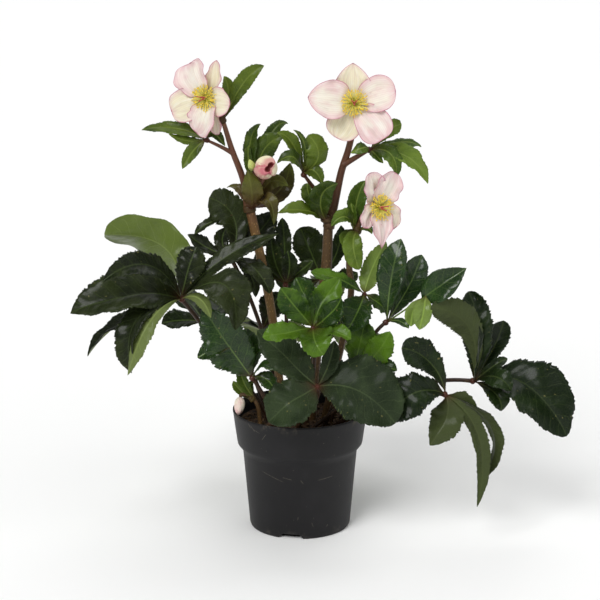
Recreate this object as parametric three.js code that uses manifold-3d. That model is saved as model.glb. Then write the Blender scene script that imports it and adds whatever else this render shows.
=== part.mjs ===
// A hellebore with three open blooms, growing in a black nursery pot.
// Millimetres, +Z up. The origin is the middle of the pot's flat underside, and the blooms look
// towards -Y, which is called south here, with +X east. Places in the tables are points of the
// plant, measured from that origin.
import * as THREE from 'three';
import { mergeVertices } from 'three/addons/utils/BufferGeometryUtils.js';
import Module from 'manifold-3d';

const wasm = await Module();
wasm.setup();

// Pot: a tapered cup with a deep rim band, of the size whose rim measures 130 mm across. The knots
// are the outside's radius and height: foot, corner, under the band, band, rim.
const rimRadius = 65;
const potHeight = 117.3;
const footRadius = 47;
const potKnots = [[footRadius, 0], [49.3, 8], [55.3, 76], [60.7, 84], [rimRadius, potHeight]];
const potWall = 1.2;
const potSegments = 24;
const notch = { count: 3, firstAngle: -101, width: 23, topWidth: 17, height: 4.6, from: 40, to: 56 };

// Soil: its surface lies a little below the rim.
const soil = {
  top: 104, drop: 2, rings: [50, 30, 0], lump: 1.3, lumpLength: 3.5,
  footRadius: 38.9, footHeight: 5.6, ledge: 46.8,
};

// Touching pieces keep this gap, and petioles and stems stand upright in plain holes.
const gap = 0.3;
const holeBottom = 90;
const uprightTop = 107;
const holeTop = 112;
const stub = { behind: 3.5, ahead: 1.5, swelling: 1.2 };
const collarSunk = 0.9;
const petioleSides = 5;

// Blades: leaflets, bracts and sepals are thin bent sheets of even thickness. Their bases are sunk
// in the stub, collar or cone that holds them.
const leafStyle = {
  rise: 1.2, fall: 0.8, thickness: 0.9, tooth: 0.08, wave: 0.07, span: 21, spans: [3, 4],
};
const bractStyle = {
  rise: 0.8, fall: 0.8, thickness: 0.9, tooth: 0, wave: 0.05, span: 19, spans: [3, 4],
};
const sepalStyle = {
  rise: 0.62, fall: 0.4, thickness: 0.8, tooth: 0, wave: 0, span: 8, spans: [4, 4],
};
const stalkHalf = 0.8;
const foldedFrom = 7;
const sunk = 0.6;
const levelled = 0.2;
const budCrease = 0.9;

// A bloom's middle: the cone that the sepals grow from, the stamens, the nectaries and the pistil.
const receptacle = { heights: [-6, -2, 1], radii: [2, 3.6, 3.4], sepalBack: 1, sepalOut: 2.2 };
const stamens = {
  count: 10, inner: 2.2, outer: 3.8, thick: 1.1,
  long: { reach: 13, height: 6 }, short: { reach: 6.2, height: 2.6 },
};
const pistil = {
  count: 3, footRadii: [1.7, 1.7], footHeight: 3, close: 0.6, spread: 2.6, height: 9.5, radii: [1, 0.5],
};

// Leaves: where the petiole stands in the soil, the point it bends through, the crown that its
// leaflets spread from, and each leaflet's middle, tip, half width and facing.
const leaves = {
  west: {
    foot: [-30, 2], bend: [-75, -8, 177], crown: [-111, -38, 236], radius: 2.4, tone: 'dark',
    leaflets: [
      {
        via: [-159, -60, 244], tip: [-213, -66, 231], half: 22, face: [0.05, -0.6, 0.8], fold: 14,
        rise: 0.8,
      },
      {
        via: [-140, -74, 277], tip: [-180, -96, 267], half: 16, face: [-0.35, -0.75, 0.55],
        fold: 16, rise: 0.9, fall: 1,
      },
      {
        via: [-126, -10, 276], tip: [-184, -12, 295], half: 24, face: [0.1, 0.9, 0.35], fold: 8,
        rise: 0.8, fall: 0.35,
      },
      {
        via: [-149, -72, 222], tip: [-158, -78, 174], half: 21, face: [-0.65, -0.7, 0.35],
        fold: 30, rise: 0.9,
      },
      { via: [-164, -30, 214], tip: [-204, -28, 179], half: 15, face: [-0.4, -0.3, 0.85], fold: 20 },
      { via: [-70, -64, 256], tip: [-57, -76, 215], half: 23, face: [0.25, -0.7, 0.65], fold: 10 },
      {
        via: [-73, -24, 270], tip: [-22, -22, 296], half: 12, face: [0.1, -0.55, 0.85], fold: 10,
        rise: 0.8,
      },
      { via: [-142, -68, 222], tip: [-156, -78, 176], half: 8.5, face: [0.5, 0.8, -0.2], fold: 6 },
      { via: [-105, -34, 260], tip: [-97, -26, 283], half: 15, face: [-0.1, -0.9, 0.4], fall: 0.5 },
      { via: [-93, -54, 240], tip: [-83, -58, 223], half: 6.5, face: [0.2, 0.8, -0.4], fold: 10 },
    ],
  },
  north_west: {
    foot: [-20, 18], bend: [-37, 10, 192], crown: [-66, 4, 265], radius: 2.2, tone: 'dark',
    leaflets: [
      { via: [-43, -14, 259], tip: [-27, -22, 237], half: 14, face: [0.5, -0.6, 0.6] },
      { via: [-89, 10, 274], tip: [-106, 10, 287], half: 9, face: [0, -0.6, 0.8] },
      { via: [-85, 12, 298], tip: [-101, 10, 287], half: 5.5, face: [-0.3, -0.7, 0.6], on: [3, 0.6] },
      {
        via: [-62, 16, 299], tip: [-86, 18, 321], half: 19, face: [0.25, -0.85, 0.45], rise: 0.9,
        fall: 0.35,
      },
      { via: [-74, 12, 278], tip: [-70, 12, 293], half: 8, face: [-0.1, -0.8, 0.6] },
      { via: [-49, 16, 248], tip: [-42, 20, 222], half: 8, face: [0, -0.8, 0.6] },
      { via: [-42, 22, 283], tip: [-25, 32, 304], half: 15, face: [0.1, -0.9, 0.4] },
    ],
  },
  south_west: {
    foot: [-26, -20], bend: [-33, -28, 134], crown: [-46, -34, 158], radius: 2.2, tone: 'dark',
    leaflets: [
      { via: [-68, -46, 194], tip: [-91, -46, 229], half: 23, face: [-0.3, -0.85, 0.45], rise: 0.8 },
      { via: [-49, -28, 181], tip: [-51, -22, 203], half: 13, face: [0.2, -0.9, 0.4] },
      { via: [-26, -52, 178], tip: [0, -58, 171], half: 14, face: [0, -0.35, 0.93] },
      { via: [-82, -48, 188], tip: [-96, -50, 182], half: 9, face: [-0.2, -0.8, 0.5], on: [0, 0.45] },
      { via: [-32, -40, 158], tip: [-24, -44, 147], half: 9, face: [0.1, -0.8, 0.5] },
    ],
  },
  front: {
    foot: [-2, -26], bend: [15, -50, 141], crown: [16, -74, 161], radius: 2.2, tone: 'dark',
    leaflets: [
      {
        via: [-8, -88, 150], tip: [-30, -90, 132], half: 25, face: [-0.1, -0.8, 0.6], fold: 8,
        rise: 0.8,
      },
      {
        via: [54, -88, 161], tip: [89, -92, 131], half: 33, face: [0.1, -0.85, 0.5], fold: 6,
        rise: 0.75, fall: 0.6,
      },
      { via: [-9, -68, 183], tip: [-39, -60, 212], half: 20, face: [-0.2, -0.6, 0.78] },
      { via: [26, -76, 182], tip: [32, -68, 204], half: 9, face: [0.1, -0.8, 0.6] },
    ],
  },
  young: {
    foot: [6, -16], bend: [13, -38, 168], crown: [12, -72, 217], radius: 1.8, tone: 'bright',
    leaflets: [
      { via: [-3, -78, 237], tip: [-18, -78, 256], half: 12, face: [-0.3, -0.85, 0.4] },
      { via: [-12, -92, 218], tip: [-34, -100, 217], half: 11, face: [-0.15, -0.7, 0.7] },
      { via: [14, -94, 209], tip: [22, -98, 198], half: 15, face: [0, -0.75, 0.65], rise: 0.8 },
      { via: [20, -66, 238], tip: [37, -60, 261], half: 13, face: [0.1, -0.85, 0.5] },
      { via: [27, -82, 232], tip: [37, -84, 248], half: 9, face: [-0.5, -0.8, 0.3] },
      { via: [31, -88, 218], tip: [47, -94, 213], half: 8, face: [0.2, -0.6, 0.75] },
      { via: [4, -58, 242], tip: [-4, -50, 259], half: 12, face: [-0.1, -0.85, 0.4] },
    ],
  },
  east_young: {
    foot: [30, -6], bend: [55, -12, 183], crown: [61, -8, 233], radius: 1.8, tone: 'bright',
    leaflets: [
      { via: [54, -34, 222], tip: [44, -46, 207], half: 16, face: [0.1, -0.75, 0.65] },
      { via: [73, -14, 226], tip: [82, -10, 216], half: 10, face: [0, -0.4, 0.9] },
      { via: [69, 2, 256], tip: [82, 4, 281], half: 11.5, face: [0.3, 0.8, 0.5], rise: 0.7 },
      { via: [37, -30, 252], tip: [10, -34, 262], half: 10, face: [0.1, -0.6, 0.75] },
    ],
  },
  east_gloss: {
    foot: [24, -18], bend: [59, -26, 181], crown: [82, -26, 210], radius: 2.2, tone: 'gloss',
    leaflets: [
      { via: [85, -34, 253], tip: [94, -26, 291], half: 14, face: [-0.15, -0.95, 0.25], rise: 1.4 },
      { via: [103, -18, 244], tip: [116, -8, 271], half: 15, face: [0.35, -0.88, 0.3] },
      { via: [118, -40, 244], tip: [149, -44, 267], half: 14, face: [0.1, -0.85, 0.5], stalk: 0.36 },
      { via: [104, -46, 228], tip: [101, -50, 212], half: 7, face: [-0.2, -0.9, 0.3], on: [2, 0.33] },
      { via: [115, -48, 228], tip: [111, -54, 211], half: 7.5, face: [0.1, -0.9, 0.3], on: [2, 0.37] },
      { via: [93, -38, 214], tip: [102, -44, 209], half: 5, face: [0, -0.6, 0.8] },
    ],
  },
  far_east: {
    foot: [40, 2], bend: [107, -10, 142], crown: [166, -20, 150], radius: 2.4, tone: 'dark',
    leaflets: [
      {
        via: [213, -44, 154], tip: [252, -64, 110], half: 30, face: [0.2, -0.75, 0.65],
        stalk: 0.08, rise: 0.8, fall: 0.55,
      },
      { via: [159, -36, 206], tip: [121, -46, 231], half: 16, face: [-0.3, 0.85, 0.45], fall: 0.5 },
      {
        via: [169, -22, 199], tip: [160, -12, 237], half: 17, face: [0.1, -0.9, 0.35], rise: 0.9,
        fall: 0.6,
      },
      { via: [165, -66, 190], tip: [167, -74, 220], half: 7, face: [0.7, -0.6, 0.3] },
      { via: [185, -40, 143], tip: [191, -44, 127], half: 11, face: [0.1, -0.8, 0.5] },
      { via: [183, -52, 164], tip: [198, -62, 153], half: 12, face: [0.1, -0.8, 0.6] },
      { via: [187, -2, 181], tip: [196, 12, 202], half: 13, face: [0, -0.7, 0.7] },
      { via: [182, -30, 167], tip: [197, -26, 175], half: 6, face: [0, -0.8, 0.6] },
    ],
  },
  south_east: {
    foot: [34, -22], bend: [89, -46, 141], crown: [137, -54, 147], radius: 2.3, tone: 'dark',
    leaflets: [
      { via: [107, -72, 154], tip: [76, -68, 123], half: 22, face: [-0.1, -0.8, 0.6] },
      { via: [121, -58, 180], tip: [95, -66, 196], half: 16, face: [0.1, -0.8, 0.55], fall: 0.5 },
      { via: [137, -62, 127], tip: [122, -66, 101], half: 18, face: [0.4, 0.8, 0.45], rise: 0.8 },
      { via: [168, -66, 108], tip: [168, -76, 44], half: 9.5, face: [0.3, 0.9, 0.3], rise: 0.8 },
      { via: [184, -44, 107], tip: [171, -58, 57], half: 9.5, face: [0.6, 0.7, 0.3], rise: 0.8 },
      { via: [150, -50, 142], tip: [167, -48, 133], half: 8, face: [0.3, 0.8, 0.3] },
    ],
  },
  east_low: {
    foot: [14, -26], bend: [43, -30, 136], crown: [49, -32, 161], radius: 2.0, tone: 'bright',
    leaflets: [
      { via: [56, -36, 190], tip: [61, -36, 214], half: 16, face: [0.1, -0.85, 0.5] },
      { via: [71, -48, 185], tip: [83, -54, 208], half: 14, face: [0.2, -0.8, 0.55] },
      { via: [73, -52, 172], tip: [91, -58, 173], half: 10, face: [0, -0.6, 0.8] },
    ],
  },
  north: {
    foot: [0, 24], bend: [17, 40, 174], crown: [21, 52, 233], radius: 2.2, tone: 'mid',
    leaflets: [
      {
        via: [10, 60, 259], tip: [0, 66, 281], half: 17.5, face: [-0.1, -0.9, 0.4], rise: 0.9,
        fall: 0.6,
      },
      { via: [42, 48, 233], tip: [56, 50, 240], half: 10, face: [0.1, -0.85, 0.5] },
      { via: [-4, 44, 228], tip: [-24, 40, 242], half: 14, face: [-0.1, -0.8, 0.6] },
      { via: [27, 92, 216], tip: [38, 135, 190], half: 18, face: [0, 0.3, 0.95] },
      { via: [3, 92, 213], tip: [-13, 130, 188], half: 17, face: [0, 0.3, 0.95] },
      { via: [36, 54, 259], tip: [40, 56, 285], half: 8.5, face: [0.1, -0.85, 0.4] },
    ],
  },
  inner: {
    foot: [-7, 12], bend: [-12, 16, 176], crown: [-14, 26, 234], radius: 2.0, tone: 'mid',
    leaflets: [
      { via: [-15, 36, 270], tip: [-17, 38, 296], half: 8.5, face: [0.1, -0.9, 0.4] },
      { via: [-10, 20, 252], tip: [-12, 18, 268], half: 9, face: [0.1, -0.85, 0.5] },
      { via: [1, 24, 248], tip: [12, 22, 258], half: 7, face: [0, -0.8, 0.6] },
      { via: [-24, 30, 255], tip: [-28, 30, 282], half: 8.5, face: [0, -0.9, 0.4] },
      { via: [-31, 34, 248], tip: [-43, 38, 261], half: 10, face: [-0.1, -0.9, 0.4] },
    ],
  },
  west_back: {
    foot: [-34, 8], bend: [-54, 30, 156], crown: [-93, 40, 192], radius: 2.2, tone: 'mid',
    leaflets: [
      { via: [-116, 40, 194], tip: [-135, 36, 192], half: 12, face: [0, -0.7, 0.7] },
      { via: [-115, 85, 203], tip: [-138, 125, 201], half: 18, face: [0, -0.2, 0.98] },
      { via: [-78, 80, 199], tip: [-73, 120, 204], half: 18, face: [0, -0.2, 0.98] },
      { via: [-85, 74, 170], tip: [-92, 108, 150], half: 15, face: [0, 0.3, 0.95] },
    ],
  },
  back_left: {
    foot: [-10, 36], bend: [-25, 60, 142], crown: [-38, 95, 169], radius: 2.2, tone: 'dark',
    leaflets: [
      { via: [-64, 130, 164], tip: [-88, 150, 148], half: 19, face: [0, 0.3, 0.95] },
      { via: [-40, 150, 159], tip: [-40, 192, 126], half: 20, face: [0, 0.3, 0.95] },
      { via: [-18, 135, 160], tip: [0, 162, 140], half: 18, face: [0, 0.3, 0.95] },
      { via: [-28, 98, 191], tip: [-20, 96, 207], half: 15, face: [0, -0.8, 0.6] },
    ],
  },
  back_right: {
    foot: [12, 36], bend: [30, 60, 137], crown: [45, 100, 157], radius: 2.2, tone: 'dark',
    leaflets: [
      { via: [72, 128, 153], tip: [88, 152, 132], half: 19, face: [0, 0.3, 0.95] },
      { via: [52, 150, 152], tip: [53, 196, 117], half: 20, face: [0, 0.3, 0.95] },
      { via: [29, 140, 153], tip: [12, 165, 133], half: 18, face: [0, 0.3, 0.95] },
      { via: [40, 105, 179], tip: [35, 110, 196], half: 15, face: [0, -0.8, 0.6] },
    ],
  },
  back_east: {
    foot: [28, 24], bend: [61, 50, 128], crown: [72, 70, 119], radius: 2.0, tone: 'mid',
    leaflets: [
      { via: [85, 100, 110], tip: [95, 122, 87], half: 16, face: [0.2, 0.2, 0.95] },
      { via: [67, 112, 103], tip: [64, 142, 75], half: 18, face: [0, 0.3, 0.95] },
      { via: [86, 64, 110], tip: [92, 60, 94], half: 12, face: [0.5, -0.2, 0.85] },
    ],
  },
};

// Flower stems and their branches: places and radii.
const stems = {
  west: {
    foot: [-18, 4], path: [[-23, 4, 179], [-31, 7, 233], [-40, 8, 277], [-48, 8, 315]],
    radii: [4.2, 3.9, 4.4, 4.6, 4.8], steps: 6,
    branches: [
      {
        path: [[-48, 8, 314], [-54, 9, 341], [-64, 10, 368], [-72, 8, 395]], bloom: 'left',
        radii: [4.2, 3.3, 3.0, 2.5, 2.2, 1.8], steps: 6,
      },
      {
        path: [[-48, 8, 314], [-44, 4, 327], [-37, -2, 339]], bud: 'west', radii: [3.8, 2.8, 2.0],
        steps: 4,
      },
      { path: [[-62, 10, 364], [-73, 6, 371], [-85, 0, 378]], radii: [2.4, 2.0, 1.6], steps: 3 },
      { path: [[-37, -2, 339], [-41, -2, 344]], bud: 'small', radii: [2, 1.6, 1.3], steps: 3 },
    ],
  },
  middle: {
    foot: [10, 4], path: [[19, 8, 203], [25, 10, 252], [27, 10, 296]],
    radii: [5.0, 5.2, 5.4, 4.8], steps: 5,
    branches: [
      {
        path: [[27, 10, 293], [33, 12, 317], [39, 14, 346], [46, 14, 369], [50, 6, 392]],
        bloom: 'middle', radii: [4.6, 3.9, 3.6, 3.4, 2.8, 2.1], steps: 7,
      },
      { path: [[27, 10, 293], [19, 8, 322], [5, 2, 344]], radii: [3.8, 2.8, 2.0], steps: 4 },
      { path: [[41, 14, 353], [53, 10, 361], [63, 4, 368]], radii: [3.0, 2.6, 2.0], steps: 3 },
    ],
  },
  east: {
    foot: [24, 6], path: [[44, 6, 198], [49, 8, 233], [47, 8, 260], [52, 6, 284]],
    radii: [3.2, 3.2, 3.2, 3.2, 3.0], steps: 5,
    branches: [
      { path: [[52, 6, 281], [56, 4, 298]], bloom: 'right', radii: [3.1, 2.7, 1.9], steps: 4 },
    ],
  },
  low: {
    foot: [-38, -16], path: [[-41, -16, 125], [-48, -15, 134]], bud: 'low',
    radii: [2.0, 1.9, 1.6], steps: 5,
    branches: [
    ],
  },
};

// Whorls of bracts: on a stub at a branch's end, or on a collar round a stem.
const whorls = {
  fork_west: {
    at: [-48, 8, 312], forward: [-0.1, 0, 1], radius: 6.2, collar: 5, stem: 'west',
    bracts: [
      { via: [-45, -12, 330], tip: [-49, -13, 353], half: 11, face: [0, -1, 0.1], fold: -34 },
      { via: [-29, 8, 337], tip: [-11, 4, 335], half: 8, face: [0.1, -0.85, 0.5], fold: 10 },
      { via: [-30, -8, 323], tip: [-24, -12, 301], half: 8, face: [0.4, -0.85, 0.3], fold: 16 },
      { via: [-19, 30, 326], tip: [-10, 32, 351], half: 11, face: [0.1, -0.9, 0.4], fold: 14 },
      { via: [-57, 20, 328], tip: [-70, 24, 330], half: 5, face: [0, -0.6, 0.8], fold: 14 },
    ],
  },
  bud_west: {
    at: [-40, 0, 333], forward: [0.4, -0.6, 0.8], radius: 4.2, collar: 5, stem: 'west',
    bracts: [
      { via: [-47, 10, 371], tip: [-38, 12, 393], half: 8, face: [-0.5, -0.8, 0.2], fold: 22 },
      { via: [-35, 9, 366], tip: [-15, 8, 382], half: 12, face: [0, -0.85, 0.5], fold: 14 },
      { via: [-28, 16, 380], tip: [-11, 20, 393], half: 7, face: [0, -0.6, 0.8], fold: 16 },
      { via: [-48, 5, 357], tip: [-48, 6, 373], half: 4.8, face: [-0.2, -0.9, 0.3], fold: 18 },
    ],
  },
  upper: {
    end: ['middle', 1], radius: 2.3,
    bracts: [
      {
        via: [17, -10, 366], tip: [8, -8, 386], half: 12.5, face: [0.3, -0.85, 0.4], fold: -12,
        rise: 0.7, fall: 0.4,
      },
      { via: [-7, -7, 364], tip: [-22, -7, 359], half: 8, face: [0, -0.7, 0.7], fold: 12 },
      { via: [-7, 4, 375], tip: [-21, 2, 386], half: 7.5, face: [0, -0.6, 0.8], fold: 16 },
      { via: [4, -14, 377], tip: [-6, -16, 392], half: 3.6, face: [0.3, -0.9, 0.3], fold: 24 },
      { via: [13, -6, 351], tip: [21, -8, 339], half: 8.5, face: [0.2, -0.8, 0.5], fold: 18 },
    ],
  },
  fork_middle: {
    at: [26, 10, 302], forward: [0, 0, 1], radius: 6.6, collar: 5, stem: 'middle',
    bracts: [
      { via: [9, -2, 326], tip: [7, -4, 339], half: 7.5, face: [-0.5, -0.8, 0.3], fold: 24 },
      { via: [20, -8, 327], tip: [35, -14, 340], half: 12, face: [0.1, -0.9, 0.4], fold: 20 },
      { via: [3, -8, 314], tip: [-21, -12, 313], half: 8.5, face: [0, -0.6, 0.8], fold: 12 },
    ],
  },
  bloom_middle: {
    end: ['middle', 2], radius: 2.3,
    bracts: [
      { via: [85, -4, 366], tip: [91, -6, 345], half: 10, face: [0.3, -0.8, 0.6], fold: 12 },
      { via: [100, 2, 363], tip: [121, -4, 339], half: 10.5, face: [0.3, -0.75, 0.6], fold: 10 },
      { via: [96, 12, 375], tip: [115, 14, 371], half: 6, face: [0, -0.6, 0.8], fold: 14 },
      { via: [82, 10, 386], tip: [95, 10, 392], half: 8, face: [0.3, -0.8, 0.4], fold: 14, fall: 0.4 },
      { via: [70, -2, 366], tip: [78, -4, 358], half: 5, face: [0, -0.8, 0.6], fold: 14 },
      { via: [59, -6, 373], tip: [47, -6, 368], half: 6.5, face: [-0.2, -0.8, 0.5], fold: -20 },
    ],
  },
  right: {
    at: [54, 5, 292], forward: [0.3, -0.1, 1], radius: 4.6, collar: 5, stem: 'east',
    bracts: [
      { via: [42, -6, 307], tip: [29, -10, 299], half: 8, face: [-0.1, -0.8, 0.6], fold: 14 },
      { via: [54, 10, 320], tip: [62, 12, 338], half: 9.5, face: [0, -0.9, 0.3], fold: 20 },
      { via: [50, 2, 308], tip: [48, 4, 318], half: 5, face: [-0.3, -0.9, 0.2], fold: 20 },
      {
        via: [50, -10, 280], tip: [56, -12, 257], half: 10.5, face: [0.2, -0.85, 0.5], fold: 14,
        fall: 0.6,
      },
      { via: [43, 0, 286], tip: [45, -4, 275], half: 6, face: [-0.3, -0.8, 0.4], fold: 16 },
      { via: [63, -4, 296], tip: [68, -8, 291], half: 4.5, face: [0.2, -0.8, 0.5], fold: 14 },
    ],
  },
  bloom_left: {
    end: ['west', 2], radius: 1.9,
    bracts: [
      { via: [-116, 8, 389], tip: [-148, 4, 389], half: 8, face: [0, -0.7, 0.7], fold: 12 },
      { via: [-107, 2, 378], tip: [-122, 2, 385], half: 5.5, face: [0, -0.6, 0.8], fold: 10 },
      { via: [-100, -2, 369], tip: [-110, -6, 353], half: 7, face: [0.2, -0.85, 0.5], fold: 12 },
      { via: [-82, 6, 385], tip: [-70, 4, 373], half: 6.5, face: [0, -0.8, 0.5], fold: 14 },
    ],
  },
  collar_left: {
    at: [-73, 8, 397], forward: [-0.5, -0.3, 0.9], radius: 3.6, collar: 5, stem: 'west',
    bracts: [
      { via: [-52, 12, 432], tip: [-34, 10, 447], half: 8.5, face: [0.2, -0.85, 0.5], fold: 14 },
      { via: [-67, 12, 422], tip: [-71, 12, 437], half: 7, face: [0, -0.9, 0.4], fold: 16 },
    ],
  },
  low: {
    at: [-46, -15, 131], forward: [-0.6, 0.1, 0.8], radius: 3.4, collar: 4, stem: 'low',
    bracts: [
      { via: [-59, -6, 138], tip: [-64, -4, 145], half: 5, face: [-0.2, -0.9, 0.4], fold: 16 },
      { via: [-49, -6, 138], tip: [-45, -4, 145], half: 5.5, face: [0.2, -0.9, 0.4], fold: 16 },
      { via: [-54, -16, 148], tip: [-57, -14, 163], half: 6, face: [0, -0.9, 0.4], fold: 20 },
    ],
  },
};

// Open blooms: the centre, the way each faces, and its sepals.
const blooms = {
  left: {
    centre: [-86, -8, 420], axis: [-0.5, -0.85, 0.1],
    sepals: [
      { via: [-99, -6, 438], tip: [-106, 3, 452], half: 18, level: 1.4 },
      { via: [-104, -4, 413], tip: [-120, 3, 405], half: 16, level: 0.0 },
      { via: [-89, -14, 403], tip: [-96, -9, 388], half: 15, level: 1.2 },
      { via: [-75, -17, 418], tip: [-64, -26, 417], half: 14, level: 1.0 },
      { via: [-80, -10, 437], tip: [-78, -11, 455], half: 8.5, level: -1.4, fall: 0.6 },
      { via: [-80, -8, 401], tip: [-78, -11, 386], half: 7, level: -1.6 },
    ],
  },
  middle: {
    centre: [50, -10, 415], axis: [0, -0.97, 0.25],
    sepals: [
      { via: [49, -8, 433], tip: [49, -9, 452], half: 18, level: -1.6, fall: 0.8 },
      { via: [69, -12, 423], tip: [88, -16, 428], half: 17.5, level: 0.0 },
      { via: [65, -15, 399], tip: [77, -19, 383], half: 17, level: 1.6 },
      { via: [42, -10, 398], tip: [34, -12, 383], half: 16.5, level: -1.4 },
      { via: [28, -14, 419], tip: [7, -19, 422], half: 19.5, level: 1.4, fall: 0.6 },
    ],
  },
  right: {
    centre: [73, -14, 318], axis: [0.5, -0.8, 0.1],
    sepals: [
      { via: [80, -12, 334], tip: [89, -9, 350], half: 14.5, level: 1.2 },
      { via: [69, -20, 337], tip: [66, -24, 352], half: 12, level: -1.2 },
      { via: [64, -20, 312], tip: [61, -25, 300], half: 9.5, level: 0.6 },
      { via: [75, -19, 300], tip: [76, -22, 280], half: 11.5, level: 1.4, fall: 1.1 },
      { via: [83, -12, 309], tip: [90, -9, 296], half: 11, level: -1.4 },
    ],
  },
};

// Buds: the base on the stem's end, the way out, and rings of height and radius.
const buds = {
  west: {
    base: [-31, -3, 351], axis: [-0.1, -0.85, 0.4],
    rings: [[0, 2.4], [2.5, 8.5], [7, 11.6], [13, 11.2], [17, 8], [18, 5.4], [13, 3]],
  },
  small: {
    base: [-44, -2, 351], axis: [-0.28, -0.55, 1],
    rings: [[0, 1.5], [2.5, 3.3], [6, 3.6], [10, 2.2], [12.5, 0.8]],
    pale: true,
  },
  low: {
    base: [-57, -14, 132], axis: [-0.12, -0.2, -1],
    rings: [[0, 2], [3, 4.6], [9, 5.2], [14, 3.6], [17, 1.2]],
  },
};

const colours = {
  dark: 0x24361f,
  mid: 0x2f4a24,
  gloss: 0x2c4a22,
  bright: 0x3f6b27,
  petiole: 0x5a2f22,
  stem: 0x5b3423,
  bract: 0x3d6328,
  sepal: 0xf0dfd4,
  stamen: 0xd8c23a,
  pistil: 0xb8505a,
  paleBud: 0xcfd39a,
  pot: 0x1b1c1e,
  soil: 0x2a211b,
};

const vector = (list) => new THREE.Vector3(...list);
const moved = (point, way, distance) => point.clone().addScaledVector(way, distance);

// A repeatable draw from 0 to 1 for each number.
function draw(number) {
  const wild = Math.sin(number * 12.9898 + 4.1414) * 43758.5453;
  return wild - Math.floor(wild);
}

// A solid from a closed three.js geometry: shared corners are merged and empty triangles dropped.
function solidOf(geometry) {
  const bare = geometry.clone();
  bare.deleteAttribute('normal');
  bare.deleteAttribute('uv');
  const merged = mergeVertices(bare, 1e-4);
  const corners = merged.index.array;
  const kept = [];
  for (let i = 0; i < corners.length; i += 3) {
    const [a, b, c] = [corners[i], corners[i + 1], corners[i + 2]];
    if (a !== b && b !== c && c !== a) kept.push(a, b, c);
  }
  const vertProperties = new Float32Array(merged.attributes.position.array);
  return new wasm.Manifold(new wasm.Mesh({ numProp: 3, vertProperties, triVerts: new Uint32Array(kept) }));
}

const joined = (solids) => solids.reduce((whole, next) => whole.add(next));

// What stays in one piece after a cut, without the scraps that it frees.
function largestBody(solid) {
  return solid.decompose().reduce((best, body) => (body.volume() > best.volume() ? body : best));
}

// Joins rings of points, each an even number running counterclockwise about the way forward, and
// closes both ends. Quads from column `turnAt` on are split along their other diagonal, so that
// a blade's two faces are split alike.
function loftSolid(rings, turnAt = Infinity) {
  const count = rings[0].length;
  const faces = [];
  for (let row = 0; row < rings.length - 1; row += 1) {
    for (let k = 0; k < count; k += 1) {
      const a = row * count + k;
      const b = row * count + ((k + 1) % count);
      const c = a + count;
      const d = b + count;
      if (k < turnAt) faces.push(a, b, d, a, d, c);
      else faces.push(a, b, c, b, d, c);
    }
  }
  const last = (rings.length - 1) * count;
  for (let k = 0; k < count / 2 - 1; k += 1) {
    const [p, q, r, s] = [k, k + 1, count - 2 - k, count - 1 - k];
    faces.push(q, p, s, q, s, r);
    faces.push(last + p, last + q, last + s, last + q, last + r, last + s);
  }
  const geometry = new THREE.BufferGeometry().setFromPoints(rings.flat());
  geometry.setIndex(faces);
  return solidOf(geometry);
}

// Joins rings of points as a loft does, and the last ring to the first.
function closedLoftSolid(rings) {
  const count = rings[0].length;
  const faces = [];
  for (let row = 0; row < rings.length; row += 1) {
    const next = (row + 1) % rings.length;
    for (let k = 0; k < count; k += 1) {
      const [a, b] = [row * count + k, row * count + ((k + 1) % count)];
      const [c, d] = [next * count + k, next * count + ((k + 1) % count)];
      faces.push(a, b, d, a, d, c);
    }
  }
  const geometry = new THREE.BufferGeometry().setFromPoints(rings.flat());
  geometry.setIndex(faces);
  return solidOf(geometry);
}

// A rod through the listed points. Its radius passes evenly through the listed radii.
function rodSolid(points, radii, sides) {
  const last = points.length - 1;
  const start = points[1].clone().sub(points[0]).normalize();
  let normal = Math.abs(start.x) < 0.8 ? new THREE.Vector3(1, 0, 0) : new THREE.Vector3(0, 0, 1);
  const rings = points.map((point, index) => {
    const along = points[Math.min(index + 1, last)].clone().sub(points[Math.max(index - 1, 0)]).normalize();
    normal = moved(normal, along, -normal.dot(along)).normalize();
    const binormal = along.clone().cross(normal);
    const place = (index / last) * (radii.length - 1);
    const step = Math.min(Math.floor(place), radii.length - 2);
    const radius = THREE.MathUtils.lerp(radii[step], radii[step + 1], place - step);
    return Array.from({ length: sides }, (_, k) => {
      const angle = (2 * Math.PI * k) / sides;
      return moved(moved(point, normal, radius * Math.cos(angle)), binormal, radius * Math.sin(angle));
    });
  });
  return loftSolid(rings);
}

// The same points with both ends carried on by `length`.
function lengthened(points, length) {
  const ends = [points[0].clone().sub(points[1]), points.at(-1).clone().sub(points.at(-2))];
  const [first, last] = ends.map((way) => way.normalize());
  return [moved(points[0], first, length), ...points.slice(1, -1), moved(points.at(-1), last, length)];
}

// Half width of a blade at t: it grows as t to the power `rise` and shrinks as 1 - t to the power
// `fall`, reaches `half` at its widest, and is a bare stalk up to `stalk`.
function halfWidth(t, blade, style) {
  const { stalk = 0, rise = style.rise, fall = style.fall } = blade;
  const s = Math.max(0, (t - stalk) / (1 - stalk));
  const widest = rise / (rise + fall);
  return blade.half * (s / widest) ** rise * ((1 - s) / (1 - widest)) ** fall;
}

// A quadratic curve from the base, through `via` half way, to the tip.
function curveThrough(base, via, tip) {
  const control = moved(moved(via.clone().multiplyScalar(2), base, -0.5), tip, -0.5);
  return new THREE.QuadraticBezierCurve3(base, control, tip);
}

const ribOf = (base, blade) => curveThrough(base, vector(blade.via), vector(blade.tip));

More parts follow.
